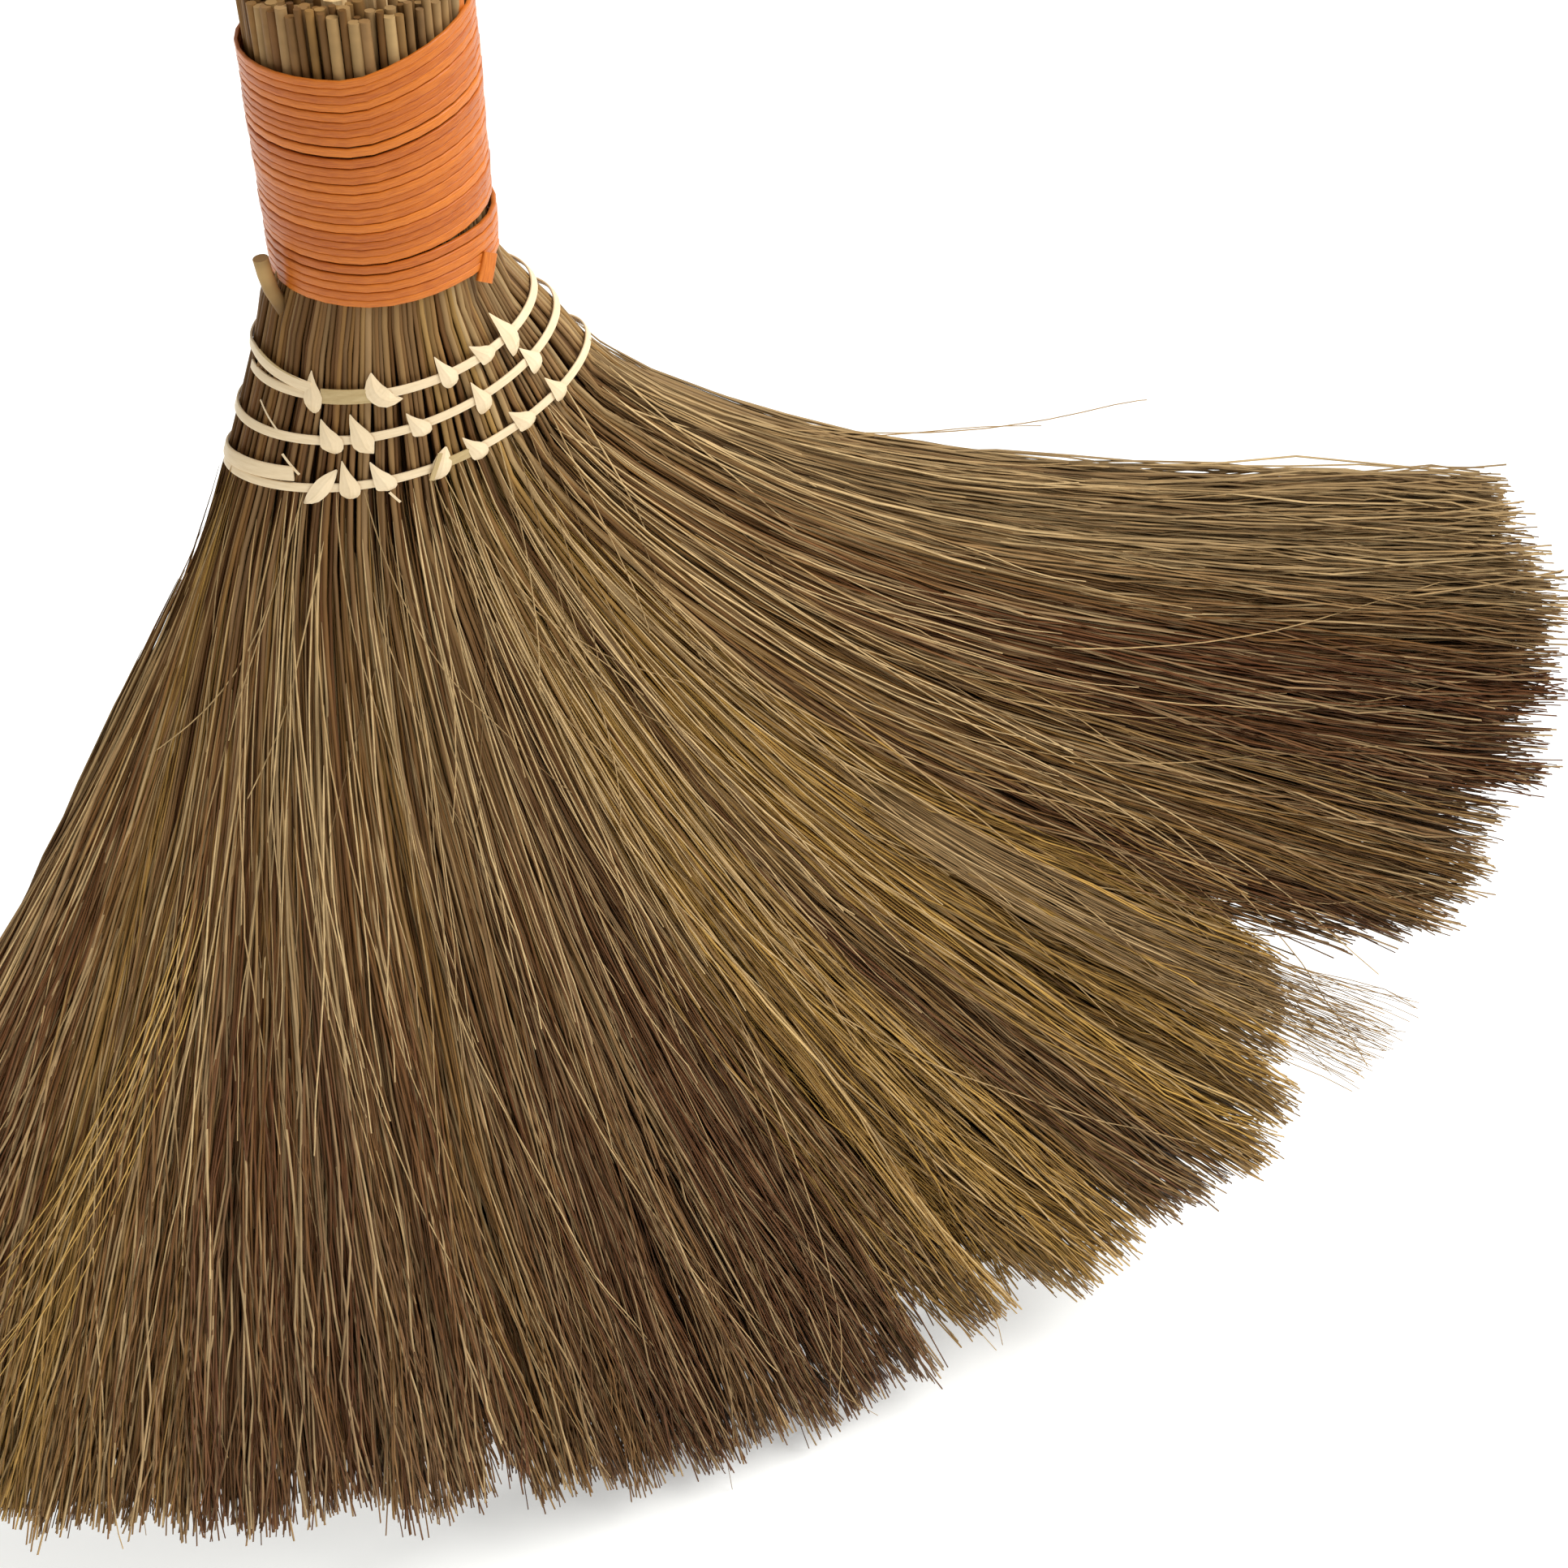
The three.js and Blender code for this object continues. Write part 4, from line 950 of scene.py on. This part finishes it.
for row, (first, lifts, end_width) in enumerate(HOOP_ENDS):
    drop = ROWS[row][0] + np.interp(swept, LIFT_AT, (*lifts, 0))
    here, _, _, out = wall_frame(drop, np.radians(first - swept))
    path = here + out * (HOOP_OFF + HOOP_LIFT * np.interp(swept, LAP_AT, (1, 1, 0)))[:, None]
    width = np.interp(swept, WIDE_AT, (end_width, end_width, 1))
    piece = lay_strip(f"row_{row + 1}_strip", path[None], out[None], STRIP, HOOP_SIZES, width[None],
                      np.full(1, HOOP_TONE))
    settle(piece, "split_rattan", f"row_{row + 1}_hoop")

# %% [markdown]
# Ties loop over the strip and go into the stalks above and below, so they narrow to points. Most are
# spikes with a slanting tip, two are shaped like a leaf, one is bent to a half moon and one has a
# tail. They could be modelled one by one, but a table of four kinds is quicker to correct.

# %% Four kinds of tie
KINDS = {   # sideways shift and width at nine places from the tip down, as shares of the tie's width
    "spike": ((-0.5, -0.4, -0.28, -0.14, 0, 0.04, 0.08, 0.1, 0.1),
              (0.04, 0.28, 0.52, 0.8, 1, 1, 0.9, 0.66, 0.3)),
    "moon": ((0.45, 0.25, 0.09, 0.01, 0, 0.02, 0.1, 0.26, 0.45),
             (0.06, 0.48, 0.8, 0.98, 1, 0.95, 0.78, 0.45, 0.06)),
    "leaf": ((0.1, 0.06, 0.02, 0, 0, 0, 0, -0.04, -0.1),
             (0.1, 0.5, 0.8, 0.98, 1, 0.95, 0.8, 0.5, 0.1)),
    "tail": ((-0.42, -0.34, -0.22, -0.1, 0, 0.06, 0.16, 0.3, 0.42),
             (0.04, 0.3, 0.56, 0.84, 1, 0.98, 0.76, 0.4, 0.06))}
TIE_HEIGHT = np.array([0.35, 0.75, 1.1, 1.3, 1.4, 1.35, 1.15, 0.7, 0.0])     # over the stalks
TIE_HALF = 5                     # places from an end to the strip


def tie(drop, turn, tilt, kind, above, below, wide):
    here, down, along, out = wall_frame(drop, turn)
    run = np.concatenate([np.linspace(-above, 0, TIE_HALF), np.linspace(0, below, TIE_HALF)[1:]])
    ahead = down * math.cos(tilt) + along * math.sin(tilt)
    aside = along * math.cos(tilt) - down * math.sin(tilt)
    shifts, widths = (np.array(x) * wide for x in KINDS[kind])
    points = here + np.outer(run, ahead) + np.outer(shifts, aside) + np.outer(TIE_HEIGHT, out)
    return points, np.repeat(out[None], len(run), 0), widths


print(len(KINDS), "kinds of tie")

# %% [markdown]
# Each tie is a folded strip with flat faces: the ridge catches the light on one side, as a crease in
# rattan does. A second table has the ties of the three rows from left to right, as they were sewn by
# eye. The back isn't seen in the photograph, so each tie gets a small plain end there.

# %% Rattan ties
TIES = (    # place across the row, kind, tilt in degrees, length above and below the strip, width
    ((-0.743, "spike", -8, 4.8, 4.2, 3.8), (-0.353, "moon", 40, 4.6, 4.6, 4.4),
     (0.114, "spike", -4, 4.6, 3.6, 3.7), (0.407, "spike", 5, 3.4, 2.8, 4.0),
     (0.61, "spike", -10, 6.4, 5.4, 4.0)),
    ((-0.606, "spike", 5, 5.0, 3.6, 4.6), (-0.442, "tail", 8, 6.2, 4.8, 4.5),
     (-0.108, "spike", 5, 4.0, 3.2, 4.2), (0.288, "spike", -10, 4.6, 4.2, 3.7),
     (0.662, "spike", -12, 4.0, 3.8, 3.8)),
    ((-0.635, "leaf", -32, 5.0, 5.2, 3.6), (-0.495, "spike", -4, 6.0, 3.6, 4.2),
     (-0.319, "spike", 6, 5.4, 3.2, 4.5), (-0.02, "leaf", -20, 4.0, 4.2, 4.2),
     (0.187, "spike", 5, 4.2, 3.6, 4.0), (0.473, "spike", 2, 3.8, 3.2, 4.6),
     (0.7, "spike", -8, 4.4, 3.2, 3.7)),
)
BACK_TIE = ("leaf", 4.2, 4.2, 2.8)           # kind, length above and below, width
TIE_TONES = (0.4, 1.0)
FOLD_SIZES = {"Width": 1.0 * MM, "Thickness": 0.1 * MM, "Corner": 0.05 * MM, "Material": rattan}
for row, ties in enumerate(TIES):
    drop, made = ROWS[row][0], []
    for across, kind, lean, *size in ties:
        turn, tilt = -math.acos(across), math.radians(lean)
        made += [tie(drop, turn, tilt, kind, *size), tie(drop, -turn, -tilt, *BACK_TIE)]
    lines, faces, widths = (np.array(x) for x in zip(*made))
    piece = lay_strip(f"row_{row + 1}_ties", lines, faces, FOLD, FOLD_SIZES, widths,
                      rng.uniform(*TIE_TONES, len(lines)))
    settle(piece, "split_rattan", *(f"row_{row + 1}_tie_{n + 1}" for n in range(len(ties))))

# %% [markdown]
# A few leftovers of the sewing lie on the rows: two wide strips that still carry the olive bark, two
# narrow ends of them, and thin slivers that split off and stand up. They follow the wall as the hoops
# do, so the same tree lays them.

# %% Bark strips and slivers
SCRAPS = {   # material, then row, place across, drop beyond the row, both from and to, width, height
    "rattan_bark_strips": (bark, (
        (0, -0.70, -0.40, -0.1, -0.1, 3.1, 1.05), (0, -0.99, -0.78, -4.0, -1.7, 1.4, 1.25),
        (2, 0.0, 0.165, -0.2, -0.2, 2.3, 1.05), (2, -0.085, -0.02, 2.0, -3.2, 1.1, 1.7))),
    "rattan_slivers": (rattan, (
        (1, -0.83, -0.74, 3.4, 7.0, 0.55, 1.05), (1, -0.965, -0.867, -4.5, -0.6, 0.4, 1.05),
        (2, -0.30, -0.25, 2.5, 5.2, 0.55, 1.05)))}
SCRAP_POINTS, SCRAP_TONE = 10, 0.5
SCRAP_SIZES = {"Width": 1.0 * MM, "Thickness": 0.16 * MM, "Corner": 0.04 * MM}
for name, (material, rows) in SCRAPS.items():
    lines, faces, widths = [], [], []
    for row, left, right, start, end, wide, height in rows:
        turn = np.linspace(-math.acos(left), -math.acos(right), SCRAP_POINTS)
        here, _, _, out = wall_frame(ROWS[row][0] + np.linspace(start, end, SCRAP_POINTS), turn)
        lines.append(here + out * height)
        faces.append(out)
        widths.append(wide)
    piece = lay_strip(name, np.array(lines), np.array(faces), STRIP,
                      {**SCRAP_SIZES, "Material": material}, np.array(widths),
                      np.full(len(rows), SCRAP_TONE))
    settle(piece, "split_rattan")

# %% [markdown]
# One broken stalk stands out of the bundle at the left, below the cord. A cylinder would look too
# straight beside the grass. It is stouter than the rest, so it gets a line of its own through the
# tree of the stalks, and painted shade makes its foot as dark as the shaded stalks around it.

# %% Stub of a broken stalk
STUB_D = 2.5
STUB = ((-20.5, -4, -10), (-21.8, -4.4, -6), (-23.2, -4.7, -2.5), (-24.4, -4.9, 0.5), (-25.1, -5, 4),
        (-25.5, -5, 7.5))
# Painted shade along the stub, darkest at the foot among the stalks and fading near the top.
STUB_SHADE = np.array((0.7, 0.7, 0.6, 0.35, 0.1, 0.1))
STUB_GOLD, STUB_TAN = 0.3, 0.3
piece = grow("stub_end", np.array(STUB)[None], CLUMP,
             {**TOP_SIZES, "Root Radius": STUB_D / 2 * MM, "Tip Radius": STUB_D / 2 * MM, "Sides": 12,
              "Seed": 2},
             {"gold": np.full(1, STUB_GOLD), "umber": np.zeros(1), "tan": np.full(1, STUB_TAN),
              "dim": STUB_SHADE[None]})
settle(piece, "grass_stalks", "stub_stalk")

# %% [markdown]
# The pole and the two pegs that wedge it are plain turned wood, and the CAD shapes are right as they
# are. They only need a material. The grain could come from a picture, but a noise that is drawn out
# along the pole has no seam. Every few centimetres a darker vein passes.

# %% Wood for the pole and the pegs
GRAIN_LONG = 30                  # a vein is this many times longer than wide
WOOD_RELIEF_MM = 0.1


def wood(name, tones, grain_mm, roughness):
    material, tree, shader = new_material(name)
    place = add(tree, "ShaderNodeTexCoord").outputs["Object"]
    slim = 1 / (grain_mm * MM)
    stretch = add(tree, "ShaderNodeMapping", {"Vector": place,
                                              "Scale": (slim, slim, slim / GRAIN_LONG)})
    grain = add(tree, "ShaderNodeTexNoise", {"Vector": stretch, "Scale": 1.0, "Detail": 5.0,
                                             "Roughness": 0.6, "Distortion": 0.4}).outputs["Fac"]
    fade = add(tree, "ShaderNodeMapRange", {"Value": grain, "From Min": 0.3, "From Max": 0.7})
    tint = add(tree, "ShaderNodeMix", {0: fade, 6: linear(tones[0]), 7: linear(tones[1])},
               data_type="RGBA")
    relief = add(tree, "ShaderNodeBump", {"Height": grain, "Strength": 0.3,
                                          "Distance": WOOD_RELIEF_MM * MM})
    fill(tree, shader, {"Base Color": tint.outputs[2], "Normal": relief, "Roughness": roughness})
    return material


# Sanded beech is pale and even, with a dull shine. Split bamboo is lighter, with finer lines.
dress = {"handle_pole": wood("sanded_beech", ("#B98F5E", "#D8B684"), 2.2, 0.5),
         "wedge_left": wood("split_bamboo_peg", ("#C79F68", "#E8CB98"), 0.7, 0.55)}
dress["wedge_right"] = dress["wedge_left"]
for node, material in dress.items():
    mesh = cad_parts[node].data
    mesh.materials.clear()
    mesh.materials.append(material)
    print(node, "is", material.name)

# %% [markdown]
# A broom that has been handled sheds a few strands. They cross the fan at a slight angle or stand off
# its upper edge, thin and pale, and they break up what would be too tidy a surface. More noise in the
# fan would blur all of it, so a table sets groups of strays, each with its own range of headings.

# %% Groups of stray strands
# count, heading, its drift, beginning and length as shares of the line, lift in mm, gold, pale
STRAYS = (
    (90, (-34, 69), (-9, 9), (0.0, 0.55), 0.5, 0, 0.3, 0.2),
    (40, (-34, 69), (-22, 22), (-0.02, 0.08), 0.2, 0, 0.2, 0.4),
    (3, (70, 70), (0, 0), (0.1, 0.16), 0.4, 8, 0.2, 0),
    (1, (70, 70), (0, 0), (0.18, 0.2), 0.4, 27, 0.1, 0),
    (1, (70, 70), (0, 0), (0.2, 0.22), 0.26, 18, 0.1, 0),
    (8, (69, 70), (0, 0), (0.1, 0.6), 0.3, 4, 0.2, 0),
    (14, (-36, -35), (0, 0), (0.1, 0.5), 0.45, 7, 0.2, 0),
    (14, (-22, -18), (-14, -9), (0.3, 0.4), 0.6, 0, 0.85, 0),
    (6, (46, 49), (-9, -6), (0.45, 0.6), 0.4, 0, 0.0, 0),
    (120, (39.2, 42.6), (-1, 1), (0.36, 0.4), 0.63, 0, 0.2, 0),
    (25, (-20, 4), (-4, 4), (-0.01, 0.2), 0.35, 0, 0.1, 0.6),
    (90, (4, 66), (-4, 4), (-0.01, 0.16), 0.4, 0, 0.1, 0.85),
)
heads, drifts, begin, share, lifts, golds, fairs = (np.concatenate(x) for x in zip(*(
    (rng.uniform(*head, count), rng.uniform(*drift, count), rng.uniform(*start, count),
     *(np.full(count, x) for x in fixed)) for count, head, drift, start, *fixed in STRAYS)))
total = len(heads)
print(total, "strays in", len(STRAYS), "groups")

# %% [markdown]
# Each stray begins on the line of one heading and drifts toward that of another. Straight needles
# would do the crossing too, but these keep the bend of the fan.

# %% Stray strands
STRAY_OFF, STRAY_BOW = 0.8, 1.5  # mm in front of the fan, at the ends and more in the middle
STRAY_POINTS = 14
GOLDEN = 0.8                     # from this share of gold on, a stray has no brown in it
STRAY_UMBER, STRAY_TANS = 0.4, (0.6, 0.2)
STRAY_SIZES = {**FAN_SIZES, "Strands": 1, "Seed": FAN_SEED, "Root Spread": 0.5 * MM,
               "Tip Spread": 1.0 * MM, "Wave": 14 * MM, "Branch": 0.0, "Root Radius": 0.22 * MM,
               "Tip Radius": 0.15 * MM, "Trim": 0.2}
base, away = (strand_lines(h, np.full(total, -1.0), np.ones(total), FAN_START, notches=())
              for h in (heads, heads + drifts))
away[..., 2] += lifts[:, None]
along = np.linspace(0, 1, LINE_POINTS)[None]
mixed = np.clip((along - begin[:, None]) / share[:, None], 0, 1)[..., None]
strays = base * (1 - mixed) + away * mixed
strays[..., 1] -= STRAY_OFF + STRAY_BOW * np.sin(np.pi * along) * rng.random((total, 1))
last = LINE_POINTS - 1
strays = np.stack([line[np.linspace(max(0, b) * last, min(1, b + part) * last,
                                    STRAY_POINTS).astype(int)]
                   for line, b, part in zip(strays, begin, share)])
piece = grow("stray_strands", strays, CLUMP, STRAY_SIZES,
             {"gold": golds, "umber": STRAY_UMBER * (golds < GOLDEN),
              "tan": np.where(golds < GOLDEN, *STRAY_TANS), "fair": fairs, "dim": np.zeros(total)})
settle(piece, "grass_strands")
